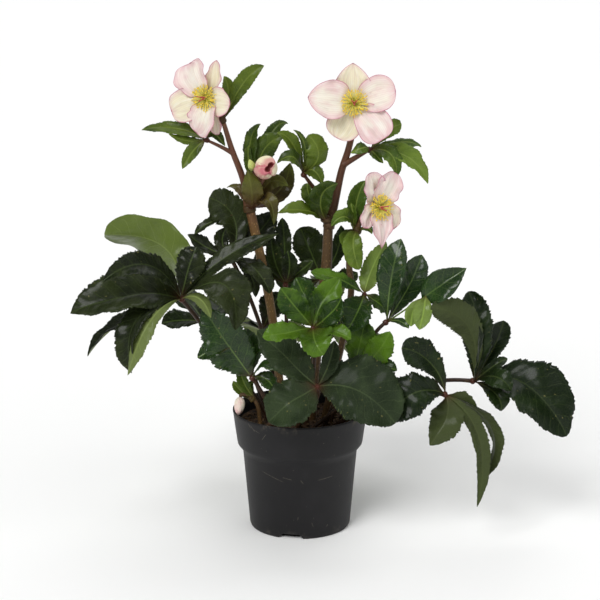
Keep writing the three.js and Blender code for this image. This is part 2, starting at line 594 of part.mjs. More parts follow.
// A thin sheet along its rib. `face` is the way its upper side looks, `fold` lifts both halves by
// that many degrees, and `level` lays the sheet over or under its neighbours. Every other row is
// narrower, which leaves the teeth of a serrated edge. Narrow blades lie flat.
function bladeSolid(base, blade, style, number) {
  const rib = ribOf(base, blade);
  const across = vector(blade.tip).sub(base).cross(vector(blade.face)).normalize();
  const fold = THREE.MathUtils.degToRad(blade.fold ?? 12);
  const spans = THREE.MathUtils.clamp(Math.round(rib.getLength() / style.span), ...style.spans);
  const phase = 2 * Math.PI * draw(number);
  const columns = blade.half < foldedFrom ? [-1, 1] : [-1, 0, 1];
  const rings = [];
  for (let row = 0; row <= spans; row += 1) {
    const t = row / spans;
    const centre = rib.getPoint(t);
    const along = rib.getTangent(t);
    const side = moved(across, along, -across.dot(along)).normalize();
    const up = side.clone().cross(along);
    const cut = row % 2 === 1 ? style.tooth : 0;
    const half = Math.max(halfWidth(t, blade, style) * (1 - cut), stalkHalf);
    const level = (blade.level ?? 0) * Math.min(1, t / levelled);
    const sheet = columns.map((v) => {
      const wave = style.wave * half * v * Math.sin(3 * Math.PI * t + phase);
      const lift = Math.abs(v) * half * Math.sin(fold) + wave + level;
      return moved(moved(centre, side, v * half * Math.cos(fold)), up, lift);
    });
    const above = sheet.map((point) => moved(point, up, style.thickness / 2));
    const below = sheet.map((point) => moved(point, up, -style.thickness / 2));
    rings.push([...above, ...below.reverse()]);
  }
  return loftSolid(rings, columns.length);
}

// A petiole stands upright in its hole, then follows one curve that passes `bend` half way and
// ends just short of the leaf's stub.
function petioleCourse(leaf) {
  const start = new THREE.Vector3(...leaf.foot, uprightTop);
  const crown = vector(leaf.crown);
  const curve = curveThrough(start, vector(leaf.bend), crown);
  const forward = curve.getTangent(1);
  const points = [new THREE.Vector3(...leaf.foot, holeBottom + gap), ...curve.getPoints(4)];
  points[points.length - 1] = moved(crown, forward, -(stub.behind + gap));
  return { points, forward };
}

function petioleSolid(leaf, grow = 0) {
  const radii = [1.15, 1, 0.85].map((share) => share * leaf.radius + grow);
  return rodSolid(lengthened(petioleCourse(leaf).points, grow), radii, petioleSides);
}

// A short stub that carries on from the end of a petiole or branch and holds the blades' bases.
function stubSolid(centre, forward, radius) {
  const ends = [moved(centre, forward, -stub.behind), moved(centre, forward, stub.ahead)];
  return rodSolid(ends, [radius, radius * stub.swelling], 4);
}

// A leaf: its leaflets spread from one stub. A leaflet with `on` grows from the rib of another.
function leafSolid(leaf, number) {
  const crown = vector(leaf.crown);
  const blades = leaf.leaflets.map((leaflet, index) => {
    const way = vector(leaflet.via).sub(crown).normalize();
    const base = leaflet.on ? ribOf(crown, leaf.leaflets[leaflet.on[0]]).getPoint(leaflet.on[1])
      : moved(crown, way, sunk * leaf.radius);
    return bladeSolid(base, leaflet, leafStyle, 10 * number + index);
  });
  const hub = stubSolid(crown, petioleCourse(leaf).forward, leaf.radius);
  const whole = joined([hub, ...blades]);
  return largestBody(whole.subtract(petioleSolid(leaf, gap)));
}

// Where a branch meets what it bears: straight on to the back of a bloom, or to a bud's core.
function seatOf(branch) {
  if (branch.bloom) {
    const bloom = blooms[branch.bloom];
    const out = vector(bloom.axis).normalize();
    return [5, 0].map((before) => moved(vector(bloom.centre), out, receptacle.heights[0] - gap - before));
  }
  if (!branch.bud) return [];
  const bud = buds[branch.bud];
  const out = vector(bud.axis).normalize();
  return [2, 0].map((before) => moved(vector(bud.base), out, -gap - before));
}

// Points of a branch along a smooth curve through its places.
function branchCourse(branch, start = []) {
  const places = [...start, ...branch.path.map(vector), ...seatOf(branch)];
  return new THREE.CatmullRomCurve3(places, false, 'centripetal').getPoints(branch.steps ?? 4);
}

// A flower stem: an upright foot in its hole, a rising main stem, and branches that are sunk in it.
function stemSolid(stem, grow = 0) {
  const foot = new THREE.Vector3(...stem.foot, holeBottom + gap);
  const upright = new THREE.Vector3(...stem.foot, uprightTop);
  const rod = (points, radii, sides) => (
    rodSolid(lengthened(points, grow), radii.map((radius) => radius + grow), sides)
  );
  const main = rod([foot, ...branchCourse(stem, [upright])], stem.radii, 8);
  return joined([main, ...stem.branches.map((branch) => rod(branchCourse(branch), branch.radii, 6))]);
}

// The middle and the way forward of a stub that carries on from a branch's end.
function stubAt([stem, branch]) {
  const points = branchCourse(stems[stem].branches[branch]);
  const forward = points.at(-1).clone().sub(points.at(-2)).normalize();
  return { centre: moved(points.at(-1), forward, gap + stub.behind), forward };
}

// A whorl of bracts: blades that share a stub at a branch's end, or a collar round a stem.
function whorlSolid(whorl, number) {
  if (whorl.end) {
    const { centre, forward } = stubAt(whorl.end);
    const blades = whorl.bracts.map((bract, index) => {
      const way = vector(bract.via).sub(centre).normalize();
      return bladeSolid(moved(centre, way, sunk * whorl.radius), bract, bractStyle, 10 * number + index);
    });
    return joined([stubSolid(centre, forward, whorl.radius), ...blades]);
  }
  const centre = vector(whorl.at);
  const forward = vector(whorl.forward).normalize();
  const blades = whorl.bracts.map((bract, index) => {
    const way = vector(bract.via).sub(centre);
    const outward = moved(way, forward, -way.dot(forward)).normalize();
    const base = moved(centre, outward, whorl.radius - collarSunk);
    return bladeSolid(base, bract, bractStyle, 10 * number + index);
  });
  const ends = [moved(centre, forward, -whorl.collar / 2), moved(centre, forward, whorl.collar / 2)];
  const collar = rodSolid(ends, [whorl.radius, whorl.radius], 6);
  return largestBody(joined([collar, ...blades]).subtract(stemSolid(stems[whorl.stem], gap)));
}

// The frame of a bloom or bud: `out` is the way it faces, and `place` turns an angle round that
// axis, a radius and a height in front of the centre into a point.
function frameOf(centre, axis) {
  const out = vector(axis).normalize();
  const right = new THREE.Vector3(0, 0, 1).cross(out).normalize();
  const up = out.clone().cross(right);
  const place = (angle, radius, height) => (
    moved(moved(moved(centre, right, radius * Math.cos(angle)), up, radius * Math.sin(angle)), out, height)
  );
  return { out, place };
}

// A bloom's sepals are joined to the small cone behind them.
function sepalsSolid(bloom, number) {
  const centre = vector(bloom.centre);
  const { out } = frameOf(centre, bloom.axis);
  const cone = receptacle.heights.map((height) => moved(centre, out, height));
  const blades = bloom.sepals.map((sepal, index) => {
    const way = vector(sepal.tip).sub(centre);
    const outward = moved(way, out, -way.dot(out)).normalize();
    const base = moved(moved(centre, out, -receptacle.sepalBack), outward, receptacle.sepalOut);
    return bladeSolid(base, { face: bloom.axis, ...sepal }, sepalStyle, 10 * number + index);
  });
  return joined([rodSolid(cone, receptacle.radii, 8), ...blades]);
}

// A low ring round the pistil whose outer edge is drawn out into leaning rays: long ones are the
// stamens, with a short nectary between each two.
function stamensSolid(bloom, number) {
  const { place } = frameOf(vector(bloom.centre), bloom.axis);
  const { count, inner, outer, thick } = stamens;
  const base = receptacle.heights.at(-1) + gap;
  const rings = Array.from({ length: 4 * count }, (_, index) => {
    const angle = (2 * Math.PI * index) / (4 * count);
    const kind = [null, stamens.long, null, stamens.short][index % 4];
    const reach = kind ? kind.reach * (0.8 + 0.2 * draw(600 + 80 * number + index)) : outer;
    const height = kind ? kind.height * (0.75 + 0.5 * draw(900 + 80 * number + index)) : 0;
    const corners = [[inner, 0], [inner, thick], [reach, height + thick], [reach, height]];
    return corners.map(([radius, up]) => place(angle, radius, base + up));
  });
  return closedLoftSolid(rings);
}

// Three carpels that share a foot and part into curved styles.
function pistilSolid(bloom) {
  const { place } = frameOf(vector(bloom.centre), bloom.axis);
  const base = receptacle.heights.at(-1) + gap;
  const foot = rodSolid([place(0, 0, base), place(0, 0, base + pistil.footHeight)], pistil.footRadii, 6);
  const carpels = Array.from({ length: pistil.count }, (_, index) => {
    const angle = (2 * Math.PI * (index + 0.25)) / pistil.count;
    const ends = [place(angle, pistil.close, base + 1), place(angle, pistil.spread, base + pistil.height)];
    return rodSolid(ends, pistil.radii, 4);
  });
  return joined([foot, ...carpels]);
}

// A bud: rings about its axis, each a height and a radius. Every other corner stands in a little,
// which parts the five wrapped sepals.
function budSolid(bud) {
  const { place } = frameOf(vector(bud.base), bud.axis);
  const rings = bud.rings.map(([height, radius]) => Array.from({ length: 10 }, (_, k) => (
    place((Math.PI * k) / 5, k % 2 === 1 ? budCrease * radius : radius, height)
  )));
  return loftSolid(rings);
}

// Radius of the pot's inside at a height above the foot's rounded corner.
function innerRadius(height) {
  const upper = potKnots.findIndex((knot, index) => index > 1 && height <= knot[1]);
  const [below, above] = [potKnots[upper - 1], potKnots[upper]];
  return THREE.MathUtils.mapLinear(height, below[1], above[1], below[0], above[0]) - potWall;
}

// A solid of revolution about Z from points of radius and height.
function turned(profile, segments) {
  const geometry = new THREE.LatheGeometry(profile.map(([x, y]) => new THREE.Vector2(x, y)), segments);
  return geometry.rotateX(Math.PI / 2);
}

// The pot is a turned shell, with notches cut into the edge of its foot for drainage.
function potSolid() {
  const inside = potKnots.slice(1).reverse().map(([, height]) => [innerRadius(height), height]);
  const floor = [[footRadius - potWall, potWall], [0, potWall]];
  const shell = solidOf(turned([[0, 0], ...potKnots, ...inside, ...floor], potSegments));
  const [bottom, top, height] = [notch.width / 2, notch.topWidth / 2, notch.height];
  const corners = [[-bottom, -1], [bottom, -1], [bottom, 0], [top, height], [-top, height], [-bottom, 0]];
  const opening = new THREE.Shape(corners.map(([x, y]) => new THREE.Vector2(x, y)));
  const cuts = Array.from({ length: notch.count }, (_, index) => {
    const cut = new THREE.ExtrudeGeometry(opening, { depth: notch.to - notch.from, bevelEnabled: false });
    cut.translate(0, 0, notch.from).rotateX(Math.PI / 2);
    cut.rotateZ(THREE.MathUtils.degToRad(notch.firstAngle + 90 + (index * 360) / notch.count));
    return solidOf(cut);
  });
  return shell.subtract(joined(cuts));
}

// The soil's surface rises and falls in two crossing waves.
function lump(x, y) {
  const broad = Math.sin(x / soil.lumpLength) * Math.sin(y / soil.lumpLength + 1);
  return soil.lump * (broad + 0.5 * Math.sin((2 * (x - y)) / soil.lumpLength));
}

// The soil fills the pot, stays clear of its notches, and has a plain hole round each petiole's and
// stem's foot.
function soilSolid() {
  const side = (height) => [innerRadius(height) - gap, height];
  const floor = [[0, potWall + gap], [soil.footRadius, potWall + gap], [soil.footRadius, soil.footHeight]];
  const walls = [...potKnots.slice(1, -1).map((knot) => side(knot[1])), side(soil.top - soil.drop)];
  const surface = soil.rings.map((radius) => [radius, soil.top]);
  const geometry = turned([...floor, [soil.ledge, soil.footHeight], ...walls, ...surface], potSegments / 2);
  const places = geometry.attributes.position;
  for (let i = 0; i < places.count; i += 1) {
    if (places.getZ(i) === soil.top) places.setZ(i, soil.top + lump(places.getX(i), places.getY(i)));
  }
  const holes = [...Object.values(leaves), ...Object.values(stems)].map((grown) => {
    const radius = ((grown.radius ?? grown.radii[0]) * 1.15 + gap) / Math.cos(Math.PI / 6);
    const ends = [new THREE.Vector3(...grown.foot, holeBottom), new THREE.Vector3(...grown.foot, holeTop)];
    return rodSolid(ends, [radius, radius], 6);
  });
  return solidOf(geometry).subtract(joined(holes));
}

const plant = new THREE.Group();

// Adds a solid to the plant as a named mesh.
function place(name, solid, colour, roughness) {
  const { numProp, vertProperties, triVerts } = solid.getMesh();
  const geometry = new THREE.BufferGeometry();
  geometry.setAttribute('position', new THREE.BufferAttribute(vertProperties, numProp));
  geometry.setIndex(new THREE.BufferAttribute(triVerts, 1));
  geometry.computeVertexNormals();
  const material = new THREE.MeshStandardMaterial({ color: colour, roughness, metalness: 0 });
  const mesh = new THREE.Mesh(geometry, material);
  mesh.name = name;
  plant.add(mesh);
}

place('pot', potSolid(), colours.pot, 0.6);
place('soil', soilSolid(), colours.soil, 0.95);
Object.entries(leaves).forEach(([name, leaf], index) => {
  place(`petiole_${name}`, petioleSolid(leaf), colours.petiole, 0.5);
  place(`leaf_${name}`, leafSolid(leaf, index), colours[leaf.tone], 0.35);
});
Object.entries(stems).forEach(([name, stem]) => {
  place(`stem_${name}`, stemSolid(stem), colours.stem, 0.5);
});
Object.entries(whorls).forEach(([name, whorl], index) => {
  place(`bracts_${name}`, whorlSolid(whorl, 20 + index), colours.bract, 0.45);
});
Object.entries(blooms).forEach(([name, bloom], index) => {
  place(`sepals_${name}`, sepalsSolid(bloom, 40 + index), colours.sepal, 0.6);
  place(`stamens_${name}`, stamensSolid(bloom, index), colours.stamen, 0.7);
  place(`pistil_${name}`, pistilSolid(bloom), colours.pistil, 0.6);
});
Object.entries(buds).forEach(([name, bud]) => {
  place(`bud_${name}`, budSolid(bud), bud.pale ? colours.paleBud : colours.sepal, 0.6);
});

export default plant;
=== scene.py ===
import math
import bpy
import numpy as np
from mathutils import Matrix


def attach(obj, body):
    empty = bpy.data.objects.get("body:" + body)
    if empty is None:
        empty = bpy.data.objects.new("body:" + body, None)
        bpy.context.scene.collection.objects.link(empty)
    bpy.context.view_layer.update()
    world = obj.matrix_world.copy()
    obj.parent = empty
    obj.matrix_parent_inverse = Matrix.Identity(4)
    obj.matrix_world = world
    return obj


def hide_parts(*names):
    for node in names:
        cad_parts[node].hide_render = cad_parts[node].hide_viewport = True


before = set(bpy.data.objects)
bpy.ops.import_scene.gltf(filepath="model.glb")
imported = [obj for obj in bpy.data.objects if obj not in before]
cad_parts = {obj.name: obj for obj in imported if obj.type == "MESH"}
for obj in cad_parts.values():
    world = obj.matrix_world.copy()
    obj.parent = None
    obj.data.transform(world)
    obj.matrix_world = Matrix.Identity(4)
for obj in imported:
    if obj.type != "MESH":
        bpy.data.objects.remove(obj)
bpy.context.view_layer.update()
print("frame loaded:", len(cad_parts), "nodes")

# Sizes are millimetres until a mesh is made. South, -Y, is the side that the open blooms face.
millimetre = 0.001
gap = 0.3  # between neighbours
scene = bpy.context.scene

# Camera, placed in metres, and light: each sun has the way its light comes from, its width in degrees
# and its strength.
view = {"at": (0, -1.8395, 0.7004), "pitch": 14.5, "lens": 119.5, "sensor": 36, "farthest": 100}
studio = {
    "air": (0.97, 0.985, 1.0), "airStrength": 0.24, "floor": (251, 251, 250), "floorReach": 60,
    "suns": [((-0.65, -1.2, 1.15), 30, 2.1), ((1.0, -0.8, 0.9), 60, 0.7), ((0.15, 0.7, 1.3), 50, 1.0)],
}


# A new object of the scene that holds the given data.
def addObject(name, data):
    added = bpy.data.objects.new(name, data)
    scene.collection.objects.link(added)
    return added


cameraData = bpy.data.cameras.new("camera")
cameraData.lens, cameraData.sensor_width = view["lens"], view["sensor"]
cameraData.clip_end = view["farthest"]
scene.camera = addObject("camera", cameraData)
scene.camera.location = view["at"]
scene.camera.rotation_euler = (math.radians(90 - view["pitch"]), 0, 0)
scene.view_settings.view_transform = "Standard"

scene.world = bpy.data.worlds.new("air")
scene.world.use_nodes = True
air = scene.world.node_tree.nodes["Background"].inputs
air["Color"].default_value = (*studio["air"], 1)
air["Strength"].default_value = studio["airStrength"]
for number, ((x, y, z), wide, strength) in enumerate(studio["suns"]):
    sunData = bpy.data.lights.new(f"softbox{number}", "SUN")
    sunData.angle, sunData.energy = math.radians(wide), strength
    sun = addObject(f"softbox{number}", sunData)
    sun.rotation_euler = (math.atan2(math.hypot(x, y), z), 0, math.atan2(y, x) + math.pi / 2)
print("camera and light ready")


# Vectors scaled to a length of one.
def unit(vectors):
    vectors = np.asarray(vectors, float)
    return vectors / np.maximum(np.linalg.norm(vectors, axis=-1, keepdims=True), 1e-9)


# Three values of each point of a grid, as one vector.
def vectorsOf(*three):
    return np.stack(np.broadcast_arrays(*three), -1)


# A repeatable draw from 0 to 1: the fraction of a large sine of the number.
def draw(number):
    wild = np.sin(np.asarray(number, float) * 12.9898 + 4.1414) * 43758.5453
    return wild - np.floor(wild)


# Even angles round a full turn.
def around(count):
    return 2 * np.pi * np.arange(count) / count


# Eased step from 0 at low to 1 at high: 3x^2 - 2x^3.
def ease(value, low, high):
    x = np.clip((value - low) / (high - low), 0, 1)
    return x * x * (3 - 2 * x)


# The middle control point of a quadratic curve that passes `via` half way: twice `via` less the mean
# of both ends.
def controlOf(base, via, tip):
    return 2 * np.asarray(via, float) - (base + tip) / 2


# Points and directions of the quadratic (1-t)^2 base + 2t(1-t) control + t^2 tip.
def quadratic(base, control, tip, t):
    t = np.asarray(t, float)[:, None]
    points = (1 - t) ** 2 * base + 2 * t * (1 - t) * control + t ** 2 * tip
    return points, unit((1 - t) * (control - base) + t * (tip - control))


# A centripetal Catmull-Rom curve through the places, at `steps` + 1 even parameters: between two
# places it is the cubic whose end slopes come from the neighbours, with knots spaced by the square
# roots of the distances.
def smoothCourse(places, steps):
    places = np.asarray(places, float)
    padded = np.vstack([2 * places[0] - places[1], places, 2 * places[-1] - places[-2]])
    parameter = np.linspace(0, len(places) - 1, steps + 1)
    piece = np.minimum(parameter.astype(int), len(places) - 2)
    s = (parameter - piece)[:, None]
    p0, p1, p2, p3 = (padded[piece + k] for k in range(4))
    d0, d1, d2 = (np.sqrt(np.linalg.norm(b - a, axis=1, keepdims=True)) for a, b in
                  ((p0, p1), (p1, p2), (p2, p3)))
    slope1 = ((p1 - p0) / d0 - (p2 - p0) / (d0 + d1) + (p2 - p1) / d1) * d1
    slope2 = ((p2 - p1) / d1 - (p3 - p1) / (d1 + d2) + (p3 - p2) / d2) * d1
    return (p1 + slope1 * s + (3 * (p2 - p1) - 2 * slope1 - slope2) * s ** 2
            + (2 * (p1 - p2) + slope1 + slope2) * s ** 3)


# Faces of lofts whose rings run counterclockwise about the way forward. Each quad joins a corner and
# its neighbour to the next ring, and both ends close with strips across the ring.
def loftFaces(lofts, rings, corners):
    start = np.arange(lofts)[:, None] * rings * corners
    first = start[..., None] + np.arange(rings - 1)[None, :, None] * corners
    corner = np.arange(corners)
    a, b = first + corner, first + (corner + 1) % corners
    walls = np.stack([a, b, b + corners, a + corners], -1)
    k = np.arange(corners // 2 - 1)
    cap = np.stack([start + k, start + k + 1, start + corners - 2 - k, start + corners - 1 - k], -1)
    return np.vstack([faces.reshape(-1, 4) for faces in
                      (walls, cap[..., [1, 0, 3, 2]], cap + (rings - 1) * corners)])


# A part of a piece: rings x corners x 3, or many such lofts, with two vectors of values for shaders.
def part(rings, place=(0, 0, 0), traits=(0, 0, 0)):
    rings = np.asarray(rings, float)
    rings = rings if rings.ndim == 4 else rings[None]
    spread = lambda values: np.broadcast_to(np.asarray(values, float), rings.shape).reshape(-1, 3)
    return {"points": rings.reshape(-1, 3), "faces": loftFaces(*rings.shape[:3]),
            "place": spread(place), "traits": spread(traits)}


# Joins parts into one mesh object that rides on the plant's body and stands for its CAD node: the
# faces of each part count on from the points of the parts before it.
def makePiece(node, slot, material, parts):
    points = np.vstack([p["points"] for p in parts]) * millimetre
    starts = np.cumsum([0] + [len(p["points"]) for p in parts[:-1]])
    faces = np.vstack([p["faces"] + start for p, start in zip(parts, starts)])
    mesh = bpy.data.meshes.new("grown_" + node)
    mesh.from_pydata(points.tolist(), [], faces.tolist())
    for name in ("place", "traits"):
        values = mesh.attributes.new(name, "FLOAT_VECTOR", "POINT")
        values.data.foreach_set("vector", np.vstack([p[name] for p in parts]).ravel())
    mesh.polygons.foreach_set("use_smooth", np.ones(len(faces), bool))
    mesh.validate()
    mesh.materials.append(material)
    piece = addObject("grown_" + node, mesh)
    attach(piece, "root")
    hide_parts(node)


# Circles about a course: radius x cosine along the normal + radius x sine along the binormal.
def circles(course, along, normal, radius, angle):
    binormal = np.cross(along, normal)
    return (course[..., None, :] + normal[..., None, :] * (radius * np.cos(angle))[..., None]
            + binormal[..., None, :] * (radius * np.sin(angle))[..., None])


# A rod along points: circles of the given radii, square to the way, on a frame that keeps facing
# the axis that the way stays furthest from. `shift` is added to the radius as a function of angle
# and of share along. Its place is the length so far, the angle and the seed.
def rodPart(points, radii, sides, shift=None, traits=(0, 0, 0), seed=0.0):
    points = np.asarray(points, float)
    share = np.linspace(0, 1, len(points))
    along = unit(np.gradient(points, axis=0))
    fixed = np.eye(3)[np.argmin(np.abs(along).max(0))]
    normal = unit(fixed - along * (along @ fixed)[:, None])
    radius = np.interp(share, np.linspace(0, 1, len(radii)), radii)[:, None]
    angle = around(sides)[None, :]
    if shift is not None:
        radius = radius + shift(angle, share[:, None])
    steps = np.linalg.norm(np.diff(points, axis=0), axis=1)
    length = np.concatenate([[0], np.cumsum(steps)])[:, None]
    return part(circles(points, along, normal, radius, angle), vectorsOf(length, angle, seed), traits)


# Many small rods at once: `course` is rods x rings x 3, `radii` rods x rings. The normal of each
# circle is square to the way and to one fixed direction.
def manyRods(course, radii, sides, traits):
    along = unit(np.gradient(course, axis=1))
    normal = unit(np.cross(along, [0.31, 0.22, 0.93]))
    return part(circles(course, along, normal, radii[..., None], around(sides)), traits=traits)


class Wire:  # one output of a node; arithmetic on it adds Math nodes
    def __init__(self, paint, socket):
        self.paint, self.socket = paint, socket

    def maths(self, operation, *values):
        return self.paint.node("Math", {"operation": operation}, dict(enumerate(values)))

    def __add__(self, other): return self.maths("ADD", self, other)
    def __radd__(self, other): return self.maths("ADD", other, self)
    def __sub__(self, other): return self.maths("SUBTRACT", self, other)
    def __rsub__(self, other): return self.maths("SUBTRACT", other, self)
    def __mul__(self, other): return self.maths("MULTIPLY", self, other)
    def __rmul__(self, other): return self.maths("MULTIPLY", other, self)
    def __truediv__(self, other): return self.maths("DIVIDE", self, other)
    def __abs__(self): return self.maths("ABSOLUTE", self)

    def rise(self, low, high):  # eased step from 0 at low to 1 at high
        return self.paint.node("MapRange", {"interpolation_type": "SMOOTHSTEP"},
                               {"Value": self, "From Min": low, "From Max": high})

    def fall(self, low, high):  # and from 1 at low to 0 at high
        return 1 - self.rise(low, high)

    def stretched(self, *factors):  # a vector, each coordinate times its factor
        return self.paint.node("VectorMath", {"operation": "MULTIPLY"}, {0: self, 1: factors})

    def three(self):  # the three numbers of a vector
        split = self.paint.node("SeparateXYZ", None, {0: self}).socket.node
        return [Wire(self.paint, socket) for socket in split.outputs]


class Paint:  # one material, with a method that makes any node; `spot` is where a point is, in metres
    def __init__(self, name, **fixed):
        self.material = bpy.data.materials.new(name)
        self.material.use_nodes = True
        self.tree = self.material.node_tree
        self.surface = self.tree.nodes["Principled BSDF"].inputs
        for socket, value in fixed.items():
            self.surface[socket.replace("_", " ")].default_value = value
        self.spot = self.node("TexCoord", out="Object")

    def node(self, kind, settings=None, sockets=None, out=0):
        made = self.tree.nodes.new("ShaderNode" + kind)
        for name, value in (settings or {}).items():
            setattr(made, name, value)
        for name, value in (sockets or {}).items():
            if isinstance(value, Wire):
                self.tree.links.new(value.socket, made.inputs[name])
            else:
                made.inputs[name].default_value = value
        return Wire(self, made.outputs[out])

    def layers(self, colour, *coats):  # lays each coat, a share and a wire or screen colour, over the rest
        for share, over in coats:
            pair = [c if isinstance(c, Wire) else tint(*c) for c in (colour, over)]
            colour = self.node("Mix", {"data_type": "RGBA"}, {0: share, 6: pair[0], 7: pair[1]}, 2)
        return colour

    def noise(self, scale, detail=2, roughness=0.5, at=None):
        return self.node("TexNoise", None, {"Vector": at or self.spot, "Scale": scale, "Detail": detail,
                                            "Roughness": roughness})

    def cells(self, scale, feature="F1", at=None):  # distance to the nearest cell's middle or border
        return self.node("TexVoronoi", {"feature": feature}, {"Vector": at or self.spot, "Scale": scale})

    def kept(self, name):  # a mesh's own vector, such as its place on the blade
        return self.node("Attribute", {"attribute_name": name}, out="Vector")

    def done(self, colour, rough, relief, strength, distance, coat=None):
        bump = self.node("Bump", None, {"Height": relief, "Strength": strength, "Distance": distance})
        wires = {"Base Color": colour, "Roughness": rough, "Normal": bump, "Coat Weight": coat}
        for socket, wire in wires.items():
            if wire:
                self.tree.links.new(wire.socket, self.surface[socket])
        return self.material


# A screen colour, 0 to 255, as the linear colour that shaders use.
def tint(red, green, blue):
    screen = np.array([red, green, blue]) / 255
    linear = np.where(screen < 0.04045, screen / 12.92, ((screen + 0.055) / 1.055) ** 2.4)
    return (*(float(x) for x in linear), 1.0)


# A screen colour made lighter or darker.
def shaded(colour, times):
    return [c * times for c in colour]


# Leaf and bract colours, and how rough, glossy and shiny they are. `spread` is how far one leaflet's
# paleness lies from the next one's.
def leafTone(top, topPale, under, vein, rough=0.38, gloss=0.17, shine=0.12, spread=0.35):
    return dict(top=top, topPale=topPale, under=under, vein=vein, rough=rough, gloss=gloss, shine=shine,
                spread=spread)


leafTones = {
    "dark": leafTone((16, 23, 7), (40, 48, 20), (106, 118, 66), (80, 96, 50), 0.34, 0.18, 0.09),
    # `shade` is `dark` made darker, most of all underneath: painted shade for the far east and south east
    # leaves.
    "shade": leafTone((13, 26, 7), (30, 46, 16), (56, 62, 36), (74, 88, 46), 0.34, 0.18, 0.09),
    "dusty": leafTone((30, 41, 23), (48, 61, 36), (102, 112, 62), (80, 94, 60), 0.46, 0.07, 0.1),
    "mid": leafTone((17, 28, 7), (39, 51, 16), (104, 116, 60), (84, 104, 48), 0.36, shine=0.09),
    "gloss": leafTone((18, 42, 9), (38, 66, 18), (104, 124, 52), (112, 138, 68), 0.28, 0.45),
    "bright": leafTone((24, 48, 7), (80, 114, 20), (110, 128, 62), (104, 134, 50), spread=0.6),
    "spray": leafTone((56, 80, 18), (104, 126, 42), (122, 134, 62), (128, 146, 66), gloss=0.18, spread=0.5),
    "bract": leafTone((42, 60, 11), (88, 106, 29), (114, 124, 54), (116, 132, 54), 0.4, spread=0.5),
}
leafFinish = {"stalk": (76, 42, 31), "lit": (84, 102, 30), "mark": (112, 108, 62), "dull": 0.48,
              "veinStep": 10.5, "veinLean": 0.8}


# Upper side dark and glossy, paler in blotches and less so near the base, which is painted shade
# where the leaflets crowd at the crown; underside paler and dull, or with the sheen of a lit one where
# `under` goes on from 1 to 2. Side veins are lines where (distance along the rib - 0.8 x distance from
# it) passes a whole number of steps, half a step apart on the two halves. A net of fine cells lies
# between them.
def leafPaint(name, tone):
    look, finish = leafTones[tone], leafFinish
    paint = Paint(name, Coat_Roughness=0.2, Specular_IOR_Level=look["shine"])
    along, across, seed = paint.kept("place").three()
    edge, under, stalk = paint.kept("traits").three()
    sheen, under = under.rise(1.0, 2.0), under.maths("MINIMUM", under, 1.0)
    away, blotch, fleck = abs(across), paint.noise(45, 3), paint.noise(900)
    half = across.maths("GREATER_THAN", across, 0.0) * 0.5
    phase = (along - away * finish["veinLean"]) / finish["veinStep"] + half + seed + paint.noise(70) * 1.1
    side = phase.maths("PINGPONG", phase, 0.5).fall(0.0, 0.05) * edge.fall(0.7, 1.0)
    rib = away.fall(0.3, 1.0) * (1 - along.rise(15, 60) * 0.6)
    net = paint.cells(420, "DISTANCE_TO_EDGE").fall(0.0, 0.09)
    # Paleness in blotches, held back near the base: painted shade where the leaflets crowd at the crown.
    paleAndBaseShade = (blotch + (seed - 0.5) * look["spread"]).rise(0.35, 0.7) * (0.45 + along.rise(4, 34) * 0.55)
    top = paint.layers(look["top"], (paleAndBaseShade, look["topPale"]), (fleck * 0.3, look["top"]),
                       (rib * 0.55 + side * 0.24 + net * 0.12, look["vein"]),
                       (paint.noise(260, 1).rise(0.735, 0.77) * 0.6, finish["mark"]))
    low = paint.layers(look["under"], (blotch * 0.5 + net * 0.12, look["vein"]),
                       (sheen * (1 - blotch * 0.7), finish["lit"]),
                       (rib * 0.6 + side * 0.2, shaded(look["under"], 1.35)))
    return paint.done(
        paint.layers(top, (under, low), (stalk, finish["stalk"])),
        (look["rough"] + fleck * 0.12) * (1 - under) + (finish["dull"] - sheen * 0.1) * under,
        (rib * 0.5 + side * 0.8 + net * 0.5) * (under * 2 - 1) + fleck * 0.15 + paint.noise(150) * 2.6,
        0.5, 0.0007, coat=(1 - under * 0.4) * look["gloss"] + sheen * 0.25)


# Blades: `rise` and `fall` shape the outline, and teeth are counted along it. `wave` to `roll` are
# shares of the half width, `droop` of the length and `lopsided` of one side over the other. The fold
# is in degrees, up to about `folding` more by a draw. `blush` is how far up the stalk's colour reaches.
leafLook = {
    "rise": 1.2, "fall": 0.8, "toothStep": 3.5, "toothDepth": 2.3, "toothMost": 0.16, "rowsPerTooth": 4,
    "columns": 8, "thickness": 0.55, "rib": 0.8, "ribWidth": 0.9, "quilt": 0.32, "stalkHalf": 0.9,
    "wave": 0.11, "ruffle": 0.08, "curl": 0.16, "buckle": 0.09, "roll": 0.09, "droop": 0.035,
    "lopsided": 0.22, "fold": 12, "folding": 18, "rounding": 0.03, "blush": 4,
}
youngLook = {**leafLook, "toothStep": 5.0, "toothDepth": 3.6, "rowsPerTooth": 6, "ruffle": 0.11,
             "curl": 0.22}
bractLook = {
    **leafLook, "rise": 0.8, "toothStep": 3.2, "toothDepth": 0.9, "rowsPerTooth": 3, "columns": 7,
    "thickness": 0.5, "rib": 0.6, "quilt": 0.2, "wave": 0.1, "ruffle": 0.1, "curl": 0.14, "buckle": 0.08,
    "roll": 0.08, "droop": 0.03, "lopsided": 0.2,
}


# What tells one blade from another: the point that its rib passes half way, its tip, its half width,
# the way that its upper face looks, and what else differs from the look of its kind. `faces` says how
# its two faces are painted: 0 as an upper side, 1 as an underside and 2 as a lit underside.
def blade(via, tip, half, face=None, **more):
    return {"via": via, "tip": tip, "half": half, "face": face, **more}


# Half width of a blade: half * (s / widest)^rise * ((1 - s) / (1 - widest))^fall, where s is the
# share of the way beyond the bare stalk and widest = rise / (rise + fall).
def halfWidth(t, blade, look):
    stalk, rise, fall = (blade.get(key, look.get(key, 0)) for key in ("stalk", "rise", "fall"))
    s = np.maximum(0, (t - stalk) / (1 - stalk))
    widest = rise / (rise + fall)
    return blade["half"] * (s / widest) ** rise * ((1 - s) / (1 - widest)) ** fall


